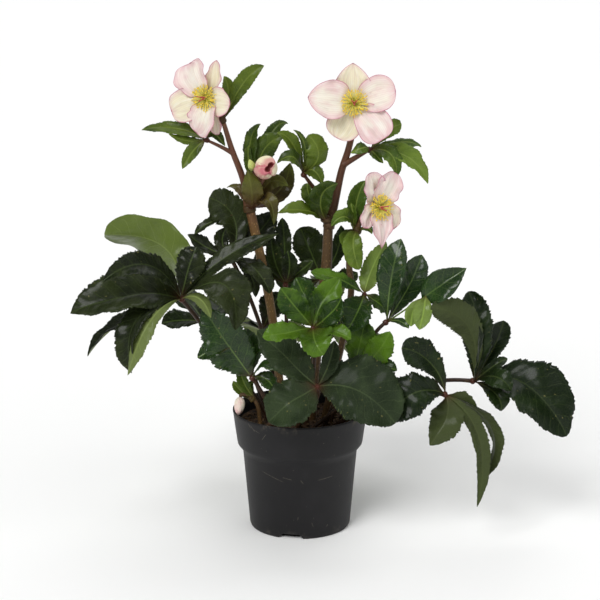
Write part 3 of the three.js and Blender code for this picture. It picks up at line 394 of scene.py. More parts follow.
# The rib of a blade, a quadratic curve through `via`: its points at t, the way across it, made square
# to the course and to the face, and the way up.
def ribOf(base, blade, face, t):
    tip = np.asarray(blade["tip"], float)
    middle, along = quadratic(base, controlOf(base, blade["via"], tip), tip, t)
    across = unit(np.cross(tip - base, face))
    side = unit(across - along * (along @ across)[:, None])
    return middle, side, np.cross(side, along)


# The length of a line of points.
def lengthOf(points):
    return np.linalg.norm(np.diff(points, axis=0), axis=1).sum()


# A thin closed sheet about a rib: its points lie `aside` across it and `lift` above it, and the two
# faces stand `over` above and `under` below them. Rings run over the top and back underneath.
def sheetPart(rib, aside, lift, over, under, place, traits):
    middle, side, up = (x[:, None] for x in rib)
    sheet = middle + side * aside[..., None] + up * lift[..., None]
    wrap = lambda upper, lower: np.concatenate([upper, lower[:, ::-1]], 1)
    return part(wrap(sheet + up * over[..., None], sheet - up * under[..., None]),
                wrap(place, place), wrap(*traits))


# A blade over t, from base to tip, and v, from edge to edge. It lies across its rib at v times the
# half width, and rises over it by the fold (rounded at the rib), by one broad wave and a finer
# ruffle that grow to the edge, by a curl of both edges that comes and goes along it, by buckles
# that cross the rib, by a droop of the tip, and by a quilt between the side veins, and its edges
# roll down. One half is a little wider than the other. Teeth grow towards the tip and drop: the
# edge is cut by depth * (1 - fraction of the warped tooth number). The two faces stand half the
# thickness off this sheet, and meet at the rounded edge.
def bladePart(base, blade, look, number):
    tip = np.asarray(blade["tip"], float)
    length = lengthOf(quadratic(base, controlOf(base, blade["via"], tip), tip, np.linspace(0, 1, 30))[0])
    teeth = max(5, round(length / look["toothStep"]))
    t = np.linspace(0, 1, teeth * look["rowsPerTooth"] + 1)
    rib = ribOf(base, blade, blade["face"], t)
    t = t[:, None]
    u = np.linspace(-1, 1, 2 * look["columns"] + 1)[None, :]
    v = np.sign(u) * np.abs(u) ** 1.2
    phase, second = 2 * np.pi * draw(number), 2 * np.pi * draw(number + 0.5)
    half = halfWidth(t, blade, look) * (1 + look["lopsided"] * (draw(number + 0.7) - 0.5) * np.sign(v))
    tooth = teeth * t + 0.3 * np.sin(2.6 * teeth * t + phase + np.sign(v))
    size = 0.6 + 0.8 * draw(np.floor(tooth) + 31 * number + np.where(v > 0, 7, 0))
    depth = blade.get("tooth", look["toothDepth"]) * size
    depth = np.minimum(depth, look["toothMost"] * half) * (t < 0.999)
    width = np.maximum(half - depth * (1 - tooth % 1) * np.abs(v) ** 5, look["stalkHalf"] * (1 - 0.8 * t))
    fold = math.radians(blade.get("fold", look["fold"]) + look["folding"] * (draw(number + 0.1) - 0.15))
    low, high = math.sqrt(look["rounding"]), math.sqrt(1 + look["rounding"])
    rounded = (np.sqrt(v * v + look["rounding"]) - low) / (high - low)
    mmAlong, mmAcross = t * length, v * half
    veins = mmAlong - leafFinish["veinLean"] * np.abs(mmAcross)
    ripple = np.cos(2 * np.pi * veins / leafFinish["veinStep"])
    buckle = np.sin(7 * t + 2 * phase) * np.sin(3.4 * v + second) * np.minimum(1, 4 * t)
    lift = (width * math.sin(fold) * rounded
            + look["wave"] * half * v * np.sin(3 * np.pi * t + phase)
            + look["ruffle"] * half * v * v * np.sin(8 * np.pi * t + second + np.where(v > 0, 2, 0))
            + look["curl"] * half * v * v * np.sin(4.2 * t + second) - look["droop"] * length * t ** 4
            + look["buckle"] * half * buckle - look["roll"] * half * v ** 6
            + look["quilt"] * ripple * np.abs(v) * (1 - v * v) * 2 * np.minimum(1, half / 12))
    thick = look["thickness"] / 2 * np.sqrt(1 - 0.97 * np.abs(v) ** 6)
    ridge = look["rib"] * np.exp(-(mmAcross / look["ribWidth"]) ** 2) * (1 - 0.8 * t)
    blush = np.exp(-mmAlong / look["blush"])
    traits = [vectorsOf(np.abs(v), under, blush) for under in blade.get("faces", (0, 1))]
    return sheetPart(rib, v * width * math.cos(0.5 * fold), lift, thick - 0.25 * ridge, thick + 0.5 * ridge,
                     vectorsOf(mmAlong, mmAcross, draw(number + 0.45)), traits)


petioleLook = {"foot": 90.3, "upright": 107, "points": 40, "sides": 16, "taper": (1.1, 0.95, 0.85)}
hubLook = {"behind": 3.5, "ahead": 1.5, "sides": 12, "rings": 9, "root": 0.6}


# What tells one leaf from another: its foot on the soil, the point that its petiole bends through, the
# crown where its leaflets spread, the petiole's radius, its tone and the leaflets. One with `on` grows
# from another's rib: that one's number and the share along.
def leaf(foot, bend, crown, radius, tone, *leaflets):
    return dict(foot=foot, bend=bend, crown=crown, radius=radius, tone=tone, leaflets=leaflets)


leaves = {
    "west": leaf((-30, 2), (-75, -8, 177), (-111, -38, 236), 2.4, "dark",
        blade((-159, -60, 244.5), (-213, -66, 231), 25.5, (0.05, -0.6, 0.8), fold=14, rise=0.8),
        blade((-140, -74, 277), (-180, -96, 267), 16, (-0.35, -0.75, 0.55), fold=16, rise=0.9, fall=1),
        blade((-126, -10, 276), (-184, -12, 295), 24, (0.1, 0.9, 0.35), fold=20, rise=0.8, fall=0.4,
              faces=(0, 2), tooth=0.4),
        blade((-151, -70, 222), (-158, -78, 174), 18, (-0.65, -0.7, 0.35), fold=30, rise=0.9),
        blade((-164, -30, 214), (-204, -28, 179), 15, (-0.4, -0.3, 0.85), fold=20),
        blade((-70, -64, 256), (-57, -76, 215), 23, (0.25, -0.7, 0.65), fold=10),
        blade((-73, -24, 270), (-22, -22, 296), 12, (0.1, -0.55, 0.85), fold=10, rise=0.8),
        blade((-137, -80, 225), (-156, -84, 176), 10, (0.5, 0.8, -0.2), fold=6),
        blade((-105, -34, 260), (-97, -26, 283), 15, (-0.1, -0.9, 0.4), fall=0.5),
        blade((-93, -54, 240), (-83, -58, 223), 6.5, (0.2, 0.8, -0.4), fold=10)),
    "north_west": leaf((-20, 18), (-37, 10, 192), (-66, 4, 265), 2.2, "dark",
        blade((-43, -14, 259), (-27, -22, 237), 14, (0.5, -0.6, 0.6)),
        blade((-89, 10, 274), (-106, 10, 287), 9, (0, -0.6, 0.8)),
        blade((-85, 12, 298), (-101, 10, 287), 5.5, (-0.3, -0.7, 0.6), on=(3, 0.6)),
        blade((-62, 16, 299), (-86, 18, 321), 19, (0.25, -0.85, 0.45), rise=0.9, fall=0.35),
        blade((-74, 12, 278), (-70, 12, 293), 8, (-0.1, -0.8, 0.6)),
        blade((-49, 16, 248), (-42, 20, 222), 8, (0, -0.8, 0.6)),
        blade((-42, 22, 283), (-25, 32, 304), 15, (0.1, -0.9, 0.4))),
    "south_west": leaf((-26, -20), (-33, -28, 134), (-46, -34, 158), 2.2, "dark",
        blade((-68, -46, 194), (-91, -46, 229), 23, (-0.3, -0.85, 0.45), rise=0.8),
        blade((-49, -28, 181), (-51, -22, 203), 13, (0.2, -0.9, 0.4)),
        blade((-26, -52, 178), (0, -58, 171), 14, (0, -0.35, 0.93)),
        blade((-82, -48, 188), (-96, -50, 182), 9, (-0.2, -0.8, 0.5), on=(0, 0.45)),
        blade((-32, -40, 158), (-24, -44, 147), 9, (0.1, -0.8, 0.5))),
    "front": leaf((-2, -26), (15, -50, 141), (16, -74, 161), 2.2, "dark",
        blade((-8, -88, 150), (-30, -90, 132), 25, (-0.1, -0.8, 0.6), fold=8, rise=0.8),
        blade((54, -88, 161), (89, -92, 131), 33, (0.1, -0.85, 0.5), fold=6, rise=0.75, fall=0.6),
        blade((-9, -68, 183), (-39, -60, 212), 20, (-0.2, -0.6, 0.78)),
        blade((26, -76, 182), (32, -68, 204), 9, (0.1, -0.8, 0.6))),
    "young": leaf((6, -16), (13, -38, 168), (12, -72, 217), 1.8, "bright",
        blade((-3, -78, 237), (-18, -78, 256), 14.5, (-0.3, -0.85, 0.4)),
        blade((-12, -92, 218), (-34, -100, 217), 12.5, (-0.15, -0.7, 0.7)),
        blade((14, -94, 209), (22, -98, 198), 17.5, (0, -0.75, 0.65), rise=0.7),
        blade((20, -66, 238), (37, -60, 261), 15, (0.1, -0.85, 0.5)),
        blade((27, -82, 232), (37, -84, 248), 11.5, (-0.5, -0.8, 0.3)),
        blade((31, -88, 218), (47, -94, 213), 9.5, (0.2, -0.6, 0.75)),
        blade((4, -58, 242), (-4, -50, 259), 13.5, (-0.1, -0.85, 0.4))),
    "east_young": leaf((30, -6), (55, -12, 183), (61, -8, 233), 1.8, "bright",
        blade((54, -34, 222), (44, -46, 207), 16, (0.1, -0.75, 0.65)),
        blade((73, -14, 226), (82, -10, 216), 10, (0, -0.4, 0.9)),
        blade((69, 2, 256), (82, 4, 281), 11.5, (0.3, 0.8, 0.5), rise=0.7),
        blade((37, -30, 252), (10, -34, 262), 10, (0.1, -0.6, 0.75))),
    "east_gloss": leaf((24, -18), (59, -26, 181), (82, -26, 210), 2.2, "gloss",
        blade((85, -34, 253), (94, -26, 291), 14, (-0.15, -0.95, 0.25), rise=1.4, tooth=0.9),
        blade((103, -18, 244), (116, -8, 271), 15, (0.35, -0.88, 0.3), tooth=0.9),
        blade((120, -40, 241), (154, -44, 267), 15, (0.1, -0.85, 0.5), stalk=0.42, rise=0.6, fall=1,
              tooth=0.5),
        blade((106, -46, 227), (103, -50, 212), 8, (-0.2, -0.9, 0.3), on=(2, 0.42), faces=(1, 1),
              tooth=0.4),
        blade((115, -48, 227), (111, -54, 210), 9.5, (0.1, -0.9, 0.3), on=(2, 0.46), faces=(1, 1),
              tooth=0.4),
        blade((93, -38, 214), (102, -44, 209), 5, (0, -0.6, 0.8))),
    "far_east": leaf((40, 2), (107, -10, 142), (166, -20, 150), 2.4, "dark",
        blade((213, -44, 154), (252, -64, 110), 30, (0.2, -0.75, 0.65), stalk=0.08, rise=0.8, fall=0.55),
        blade((159, -36, 206), (121, -46, 231), 16, (-0.3, 0.85, 0.45), fall=0.5),
        blade((169, -22, 199), (160, -12, 237), 17, (0.1, -0.9, 0.35), rise=0.9, fall=0.6),
        blade((165, -66, 190), (167, -74, 220), 7, (0.7, -0.6, 0.3)),
        blade((185, -40, 143), (191, -44, 127), 11, (0.1, -0.8, 0.5)),
        blade((183, -52, 164), (198, -62, 153), 12, (0.1, -0.8, 0.6)),
        blade((187, -2, 181), (196, 12, 202), 13, (0, -0.7, 0.7)),
        blade((182, -30, 167), (197, -26, 175), 6, (0, -0.8, 0.6))),
    "south_east": leaf((34, -22), (89, -46, 141), (137, -54, 147), 2.3, "dark",
        blade((107, -72, 154), (76, -68, 123), 22, (-0.1, -0.8, 0.6)),
        blade((121, -58, 180), (95, -66, 196), 16, (0.1, -0.8, 0.55), fall=0.5),
        blade((137, -62, 127), (122, -66, 101), 18, (0.4, 0.8, 0.45), rise=0.8),
        blade((168, -66, 108), (168, -76, 44), 9.5, (0.3, 0.9, 0.3), rise=0.8),
        blade((184, -44, 107), (171, -58, 57), 9.5, (0.6, 0.7, 0.3), rise=0.8),
        blade((150, -50, 142), (167, -48, 133), 8, (0.3, 0.8, 0.3))),
    "east_low": leaf((14, -26), (43, -30, 136), (49, -32, 161), 2, "bright",
        blade((56, -36, 190), (61, -36, 214), 16, (0.1, -0.85, 0.5)),
        blade((71, -48, 185), (83, -54, 208), 14, (0.2, -0.8, 0.55)),
        blade((73, -52, 172), (91, -58, 173), 10, (0, -0.6, 0.8))),
    "north": leaf((0, 24), (17, 40, 174), (21, 52, 233), 2.2, "mid",
        blade((10, 60, 259), (0, 66, 281), 17.5, (-0.1, -0.9, 0.4), rise=0.9, fall=0.6),
        blade((42, 48, 233), (56, 50, 240), 10, (0.1, -0.85, 0.5)),
        blade((-4, 44, 228), (-24, 40, 242), 14, (-0.1, -0.8, 0.6)),
        blade((27, 92, 216), (38, 135, 190), 18, (0, 0.3, 0.95)),
        blade((3, 92, 213), (-13, 130, 188), 17, (0, 0.3, 0.95)),
        blade((36, 54, 259), (40, 56, 285), 8.5, (0.1, -0.85, 0.4))),
    "inner": leaf((-7, 12), (-12, 16, 176), (-14, 26, 234), 2, "mid",
        blade((-15, 36, 270), (-17, 38, 296), 8.5, (0.1, -0.9, 0.4)),
        blade((-10, 20, 252), (-12, 18, 268), 9, (0.1, -0.85, 0.5)),
        blade((1, 24, 248), (12, 22, 258), 7, (0, -0.8, 0.6)),
        blade((-24, 30, 255), (-28, 30, 282), 8.5, (0, -0.9, 0.4)),
        blade((-31, 34, 248), (-43, 38, 261), 10, (-0.1, -0.9, 0.4))),
    "west_back": leaf((-34, 8), (-54, 30, 156), (-93, 40, 192), 2.2, "mid",
        blade((-116, 40, 194), (-135, 36, 192), 12, (0, -0.7, 0.7)),
        blade((-115, 85, 203), (-138, 125, 201), 18, (0, -0.2, 0.98)),
        blade((-78, 80, 199), (-73, 120, 204), 18, (0, -0.2, 0.98)),
        blade((-85, 74, 170), (-92, 108, 150), 15, (0, 0.3, 0.95))),
    "back_left": leaf((-10, 36), (-25, 60, 142), (-38, 95, 169), 2.2, "dark",
        blade((-64, 130, 164), (-88, 150, 148), 19, (0, 0.3, 0.95)),
        blade((-40, 150, 159), (-40, 192, 126), 20, (0, 0.3, 0.95)),
        blade((-18, 135, 160), (0, 162, 140), 18, (0, 0.3, 0.95)),
        blade((-28, 98, 191), (-20, 96, 207), 15, (0, -0.8, 0.6))),
    "back_right": leaf((12, 36), (30, 60, 137), (45, 100, 157), 2.2, "dark",
        blade((72, 128, 153), (88, 152, 132), 19, (0, 0.3, 0.95)),
        blade((52, 150, 152), (53, 196, 117), 20, (0, 0.3, 0.95)),
        blade((29, 140, 153), (12, 165, 133), 18, (0, 0.3, 0.95)),
        blade((40, 105, 179), (35, 110, 196), 15, (0, -0.8, 0.6))),
    "back_east": leaf((28, 24), (61, 50, 128), (72, 70, 119), 2, "mid",
        blade((85, 100, 110), (95, 122, 87), 16, (0.2, 0.2, 0.95)),
        blade((67, 112, 103), (64, 142, 75), 18, (0, 0.3, 0.95)),
        blade((86, 64, 110), (92, 60, 94), 12, (0.5, -0.2, 0.85))),
}


# A petiole's course: upright in its hole, then a quadratic curve through its bend to the crown.
def petioleCourse(leaf):
    start = np.array([*leaf["foot"], petioleLook["upright"]], float)
    crown = np.array(leaf["crown"], float)
    t = np.linspace(0, 1, petioleLook["points"])
    points, along = quadratic(start, controlOf(start, leaf["bend"], crown), crown, t)
    return np.vstack([[*leaf["foot"], petioleLook["foot"]], points]), along[-1]


# A petiole: a rod that swells at both ends, with a shallow channel along its upper side. Each is a
# bell curve, exp(-x^2), of the share along or of the angle.
def petiolePart(leaf, seed):
    points, forward = petioleCourse(leaf)
    points[-1] = points[-1] - forward * (hubLook["behind"] + gap)
    radius = leaf["radius"]
    shift = lambda angle, share: radius * (
        0.10 * np.exp(-(share / 0.06) ** 2) + 0.16 * np.exp(-((1 - share) / 0.05) ** 2)
        - 0.13 * np.exp(-((np.cos(angle - 1.2) - 1) / 0.25) ** 2))
    return rodPart(points, [radius * share for share in petioleLook["taper"]], petioleLook["sides"], shift,
                   seed=seed)


# The hub that holds a leaf's or whorl's blades: a short rod along the way forward, swollen by the
# sine of its share along and rounded off by the share's sixth power.
def hubPart(centre, forward, radius):
    look = hubLook
    share = np.linspace(0, 1, look["rings"])[:, None]
    points = centre + unit(forward) * (-look["behind"] + share * (look["behind"] + look["ahead"]))
    bulge = lambda angle, share: radius * (0.35 * np.sin(np.pi * share) - 0.75 * share ** 6) + 0 * angle
    return rodPart(points, [radius, radius * 1.1], look["sides"], bulge, traits=(0, 0, 1))


# Where a blade leaves its hub: a share of the hub's radius out, towards the blade's middle.
def hubBase(centre, blade, radius):
    return centre + unit(np.subtract(blade["via"], centre)) * hubLook["root"] * radius


# A leaf: its leaflets spread from one hub, or from a point of another leaflet's quadratic rib.
def leafParts(leaf, number):
    look = youngLook if leaf["tone"] == "bright" else leafLook
    crown = np.array(leaf["crown"], float)
    parts = [hubPart(crown, petioleCourse(leaf)[1], leaf["radius"])]
    for index, leaflet in enumerate(leaf["leaflets"]):
        base = hubBase(crown, leaflet, leaf["radius"])
        if "on" in leaflet:
            parent = leaf["leaflets"][leaflet["on"][0]]
            tip = np.array(parent["tip"], float)
            base = quadratic(crown, controlOf(crown, parent["via"], tip), tip, [leaflet["on"][1]])[0][0]
        parts.append(bladePart(base, leaflet, look, 10 * number + index))
    return parts


# Stalk colours, from the foot up: low, high and tip, and those of streaks, flecks and older stalks,
# with the heights in metres between which each change happens.
stalkHeights = {"high": (0.28, 0.325), "tip": (0.33, 0.41), "flecks": (0.29, 0.33), "age": (0.3, 0.38)}
stalkTones = {
    "petiole": {"low": (46, 29, 18), "high": (64, 40, 26), "tip": (64, 40, 26), "streak": (104, 72, 44),
                "fleck": (140, 116, 74), "flecks": 0.2, "old": (46, 29, 18), "age": 0},
    "stem": {"low": (110, 84, 46), "high": (84, 45, 33), "tip": (122, 80, 62), "streak": (124, 88, 54),
             "fleck": (184, 148, 92), "flecks": 0.7, "old": (52, 36, 22), "age": 0.6},
}


# Reddish brown, with streaks drawn out along the stalk and pale flecks on its lower part.
def stalkPaint(tone):
    look, heights = stalkTones[tone], stalkHeights
    paint = Paint(tone, Specular_IOR_Level=0.3)
    height, seed = paint.spot.three()[2], paint.kept("place").three()[2]
    streak = paint.noise(1500, 3, at=paint.spot.stretched(1, 1, 0.07))
    dots = paint.cells(620, at=paint.spot.stretched(1, 1, 0.45)).fall(0.16, 0.3)
    dots = dots * height.fall(*heights["flecks"]) * look["flecks"]
    colour = paint.layers(
        look["low"], (height.rise(*heights["high"]), look["high"]),
        (height.rise(*heights["tip"]), look["tip"]), (streak.rise(0.45, 0.75) * 0.6, look["streak"]),
        (paint.noise(30) * 0.35, shaded(look["low"], 0.62)), (dots, look["fleck"]),
        (seed.rise(0.3, 0.8) * height.fall(*heights["age"]) * look["age"], look["old"]))
    return paint.done(colour, 0.38 + streak * 0.2, streak + dots, 0.3, 0.0004)


# Flower stems: foot on the soil, places that the stem passes, radii from foot to end, the branches,
# and the bloom or bud that the stem or a branch bears. A branch that ends in a whorl has the `steps`
# of the course whose last one gives the whorl's way.
stemLook = {"sides": 20, "branchSides": 16, "steps": 60, "branchSteps": 40}
stems = {
    "west": {"foot": (-18, 4), "path": [(-23, 4, 179), (-31, 7, 233), (-40, 8, 277), (-48, 8, 315)],
        "radii": (4.2, 3.9, 4.4, 4.6, 4.8), "branches": [
        {"path": [(-48, 8, 314), (-54, 9, 341), (-64, 10, 368), (-72, 8, 395)],
         "radii": (4.2, 3.3, 3, 2.5, 2.2, 1.8), "bloom": "left"},
        {"path": [(-48, 8, 314), (-44, 4, 327), (-37, -2, 339)], "radii": (3.8, 2.8, 2), "bud": "west"},
        {"path": [(-62, 10, 364), (-73, 6, 371), (-85, 0, 378)], "radii": (2.4, 2, 1.6), "steps": 3},
        {"path": [(-37, -2, 339), (-41, -2, 344)], "radii": (2, 1.6, 1.3), "bud": "small"}]},
    "middle": {"foot": (10, 4), "path": [(19, 8, 203), (25, 10, 252), (27, 10, 296)],
        "radii": (5, 5.2, 5.4, 4.8), "branches": [
        {"path": [(27, 10, 293), (33, 12, 317), (39, 14, 346), (46, 14, 369), (50, 6, 392)],
         "radii": (4.6, 3.9, 3.6, 3.4, 2.8, 2.1), "bloom": "middle"},
        {"path": [(27, 10, 293), (19, 8, 322), (5, 2, 344)], "radii": (3.8, 2.8, 2), "steps": 4},
        {"path": [(41, 14, 353), (53, 10, 361), (63, 4, 368)], "radii": (3, 2.6, 2), "steps": 3}]},
    "east": {"foot": (24, 6), "path": [(44, 6, 198), (49, 8, 233), (47, 8, 260), (52, 6, 284)],
        "radii": (3.2, 3.2, 3.2, 3.2, 3), "branches": [
        {"path": [(52, 6, 281), (56, 4, 298)], "radii": (3.1, 2.7, 1.9), "bloom": "right"}]},
    "low": {"foot": (-38, -16), "path": [(-41, -16, 125), (-48, -15, 134)], "radii": (2, 1.9, 1.6),
        "bud": "low", "branches": []},
}


# Where a branch meets what it bears, at two distances behind it: a bloom's cone or a bud's base.
def seatOf(branch):
    if "bloom" in branch:
        bloom = blooms[branch["bloom"]]
        out = unit(bloom["axis"])
        return [np.array(bloom["centre"]) + out * (coneLook["heights"][0] - gap - d) for d in (5, 0)]
    if "bud" in branch:
        bud = buds[branch["bud"]]
        return [np.array(bud["base"]) + unit(bud["axis"]) * (-gap - d) for d in (2, 0)]
    return []


# A flower stem: an upright foot, a rising stem and its branches. Low ridges, sines of the angle, run
# along it, and a branch swells at its start by a bell curve of its share along.
def stemParts(stem, seed):
    foot, upright = ([*stem["foot"], petioleLook[key]] for key in ("foot", "upright"))
    course = smoothCourse([upright, *stem["path"], *seatOf(stem)], stemLook["steps"])
    ridges = lambda angle, share: stem["radii"][0] * (
        0.035 * np.sin(7 * angle + 3 * share) - 0.08 * share ** 2)
    parts = [rodPart(np.vstack([foot, course]), stem["radii"], stemLook["sides"], ridges, seed=seed)]
    for branch in stem["branches"]:
        swell = lambda angle, share: branch["radii"][0] * (
            0.25 * np.exp(-(share / 0.08) ** 2) + 0.03 * np.sin(6 * angle) - 0.1 * share * (2 - share))
        parts.append(rodPart(smoothCourse([*branch["path"], *seatOf(branch)], stemLook["branchSteps"]),
                             branch["radii"], stemLook["branchSides"], swell, seed=seed + 0.1))
    return parts


# Whorls of bracts: round a stem, with a collar of the given length, or on a hub at a branch's end. The
# stalk's colour reaches further up the bracts of a `flushed` one.
whorlLook = {"flushed": {"fork_west": 44}, "collar": 5, "sunk": 0.9, "sides": 20, "rings": 9, "over": 1.5}
whorls = {
    "fork_west": {"at": (-48, 8, 312), "forward": (-0.1, 0, 1), "radius": 6.2, "bracts": [
        blade((-45, -12, 330), (-49, -13, 353), 11, (0, -1, 0.1), fold=-34),
        blade((-29, 8, 337), (-11, 4, 335), 8, (0.1, -0.85, 0.5), fold=10),
        blade((-30, -8, 323), (-24, -12, 301), 8, (0.4, -0.85, 0.3), fold=16),
        blade((-19, 30, 326), (-10, 32, 351), 11, (0.1, -0.9, 0.4), fold=14),
        blade((-57, 20, 328), (-70, 24, 330), 5, (0, -0.6, 0.8), fold=14)]},
    "bud_west": {"at": (-40, 0, 333), "forward": (0.4, -0.6, 0.8), "radius": 4.2, "bracts": [
        blade((-47, 10, 371), (-38, 12, 393), 8, (-0.5, -0.8, 0.2), fold=22),
        blade((-35, 9, 366), (-15, 8, 382), 12, (0, -0.85, 0.5), fold=14),
        blade((-28, 16, 380), (-11, 20, 393), 7, (0, -0.6, 0.8), fold=16),
        blade((-48, 5, 357), (-48, 6, 373), 4.8, (-0.2, -0.9, 0.3), fold=18)]},
    "upper": {"end": ("middle", 1), "radius": 2.3, "bracts": [
        blade((17, -10, 366), (8, -8, 386), 12.5, (0.3, -0.85, 0.4), fold=-12, rise=0.7, fall=0.4),
        blade((-7, -7, 364), (-22, -7, 359), 8, (0, -0.7, 0.7), fold=12),
        blade((-7, 4, 375), (-21, 2, 386), 7.5, (0, -0.6, 0.8), fold=16),
        blade((4, -14, 377), (-6, -16, 392), 3.6, (0.3, -0.9, 0.3), fold=24),
        blade((13, -6, 351), (21, -8, 339), 8.5, (0.2, -0.8, 0.5), fold=18)]},
    "fork_middle": {"at": (26, 10, 302), "forward": (0, 0, 1), "radius": 6.6, "bracts": [
        blade((9, -2, 326), (7, -4, 339), 7.5, (-0.5, -0.8, 0.3), fold=24),
        blade((20, -8, 327), (35, -14, 340), 12, (0.1, -0.9, 0.4), fold=20),
        blade((3, -8, 314), (-21, -12, 313), 8.5, (0, -0.6, 0.8), fold=12)]},
    "bloom_middle": {"end": ("middle", 2), "radius": 2.3, "bracts": [
        blade((85, -4, 366), (91, -6, 345), 10, (0.3, -0.8, 0.6), fold=12),
        blade((100, 2, 363), (121, -4, 339), 10.5, (0.3, -0.75, 0.6), fold=10),
        blade((96, 12, 375), (115, 14, 371), 6, (0, -0.6, 0.8), fold=14),
        blade((82, 10, 386), (95, 10, 392), 8, (0.3, -0.8, 0.4), fold=14, fall=0.4),
        blade((70, -2, 366), (78, -4, 358), 5, (0, -0.8, 0.6), fold=14),
        blade((59, -6, 373), (47, -6, 368), 6.5, (-0.2, -0.8, 0.5), fold=-20)]},
    "right": {"at": (54, 5, 292), "forward": (0.3, -0.1, 1), "radius": 4.6, "bracts": [
        blade((42, -6, 307), (29, -10, 299), 8, (-0.1, -0.8, 0.6), fold=14),
        blade((54, 10, 320), (62, 12, 338), 9.5, (0, -0.9, 0.3), fold=20),
        blade((50, 2, 308), (48, 4, 318), 5, (-0.3, -0.9, 0.2), fold=20),
        blade((50, -10, 280), (56, -12, 257), 10.5, (0.2, -0.85, 0.5), fold=14, fall=0.6),
        blade((43, 0, 286), (45, -4, 275), 6, (-0.3, -0.8, 0.4), fold=16),
        blade((63, -4, 296), (68, -8, 291), 4.5, (0.2, -0.8, 0.5), fold=14)]},
    "bloom_left": {"end": ("west", 2), "radius": 1.9, "bracts": [
        blade((-116, 8, 389), (-148, 4, 389), 8, (0, -0.7, 0.7), fold=12),
        blade((-107, 2, 378), (-122, 2, 385), 5.5, (0, -0.6, 0.8), fold=10),
        blade((-100, -2, 369), (-110, -6, 353), 7, (0.2, -0.85, 0.5), fold=12),
        blade((-82, 6, 385), (-70, 4, 373), 6.5, (0, -0.8, 0.5), fold=14)]},
    "collar_left": {"at": (-73, 8, 397), "forward": (-0.5, -0.3, 0.9), "radius": 3.6, "bracts": [
        blade((-52, 12, 432), (-34, 10, 447), 8.5, (0.2, -0.85, 0.5), fold=14),
        blade((-67, 12, 422), (-71, 12, 437), 7, (0, -0.9, 0.4), fold=16)]},
    "low": {"at": (-46, -15, 131), "forward": (-0.6, 0.1, 0.8), "radius": 3.4, "collar": 4, "bracts": [
        blade((-59, -6, 138), (-64, -4, 145), 5, (-0.2, -0.9, 0.4), fold=16),
        blade((-49, -6, 138), (-45, -4, 145), 5.5, (0.2, -0.9, 0.4), fold=16),
        blade((-54, -16, 148), (-57, -14, 163), 6, (0, -0.9, 0.4), fold=20)]},
}


# A whorl: bracts spread from a hub, or from a collar round the stem, whose radius has a sine of the
# angle and falls off at both ends by the sixth power of the share from its middle.
def whorlParts(name, whorl, number):
    look = {**bractLook, "blush": whorlLook["flushed"].get(name, bractLook["blush"])}
    radius = whorl["radius"]
    if "end" in whorl:
        branch = stems[whorl["end"][0]]["branches"][whorl["end"][1]]
        course = smoothCourse([*branch["path"], *seatOf(branch)], branch["steps"])
        forward = unit(course[-1] - course[-2])
        centre = course[-1] + forward * (gap + hubLook["behind"])
        parts = [hubPart(centre, forward, radius)]
        bases = [hubBase(centre, bract, radius) for bract in whorl["bracts"]]
    else:
        centre, forward = np.array(whorl["at"], float), unit(whorl["forward"])
        share = np.linspace(-0.5, 0.5, whorlLook["rings"])[:, None]
        cuff = lambda angle, share: radius * (0.04 * np.sin(3 * angle) - 0.25 * (2 * share - 1) ** 6)
        collar = whorl.get("collar", whorlLook["collar"])
        parts = [rodPart(centre + forward * share * collar * whorlLook["over"], [radius] * 2,
                         whorlLook["sides"], cuff, traits=(0, 0, 0.7))]
        ways = [np.subtract(bract["via"], centre) for bract in whorl["bracts"]]
        ways = [unit(way - forward * (way @ forward)) for way in ways]
        bases = [centre + way * (radius - whorlLook["sunk"]) for way in ways]
    for index, (bract, base) in enumerate(zip(whorl["bracts"], bases)):
        parts.append(bladePart(base, bract, look, 10 * number + index))
    return parts


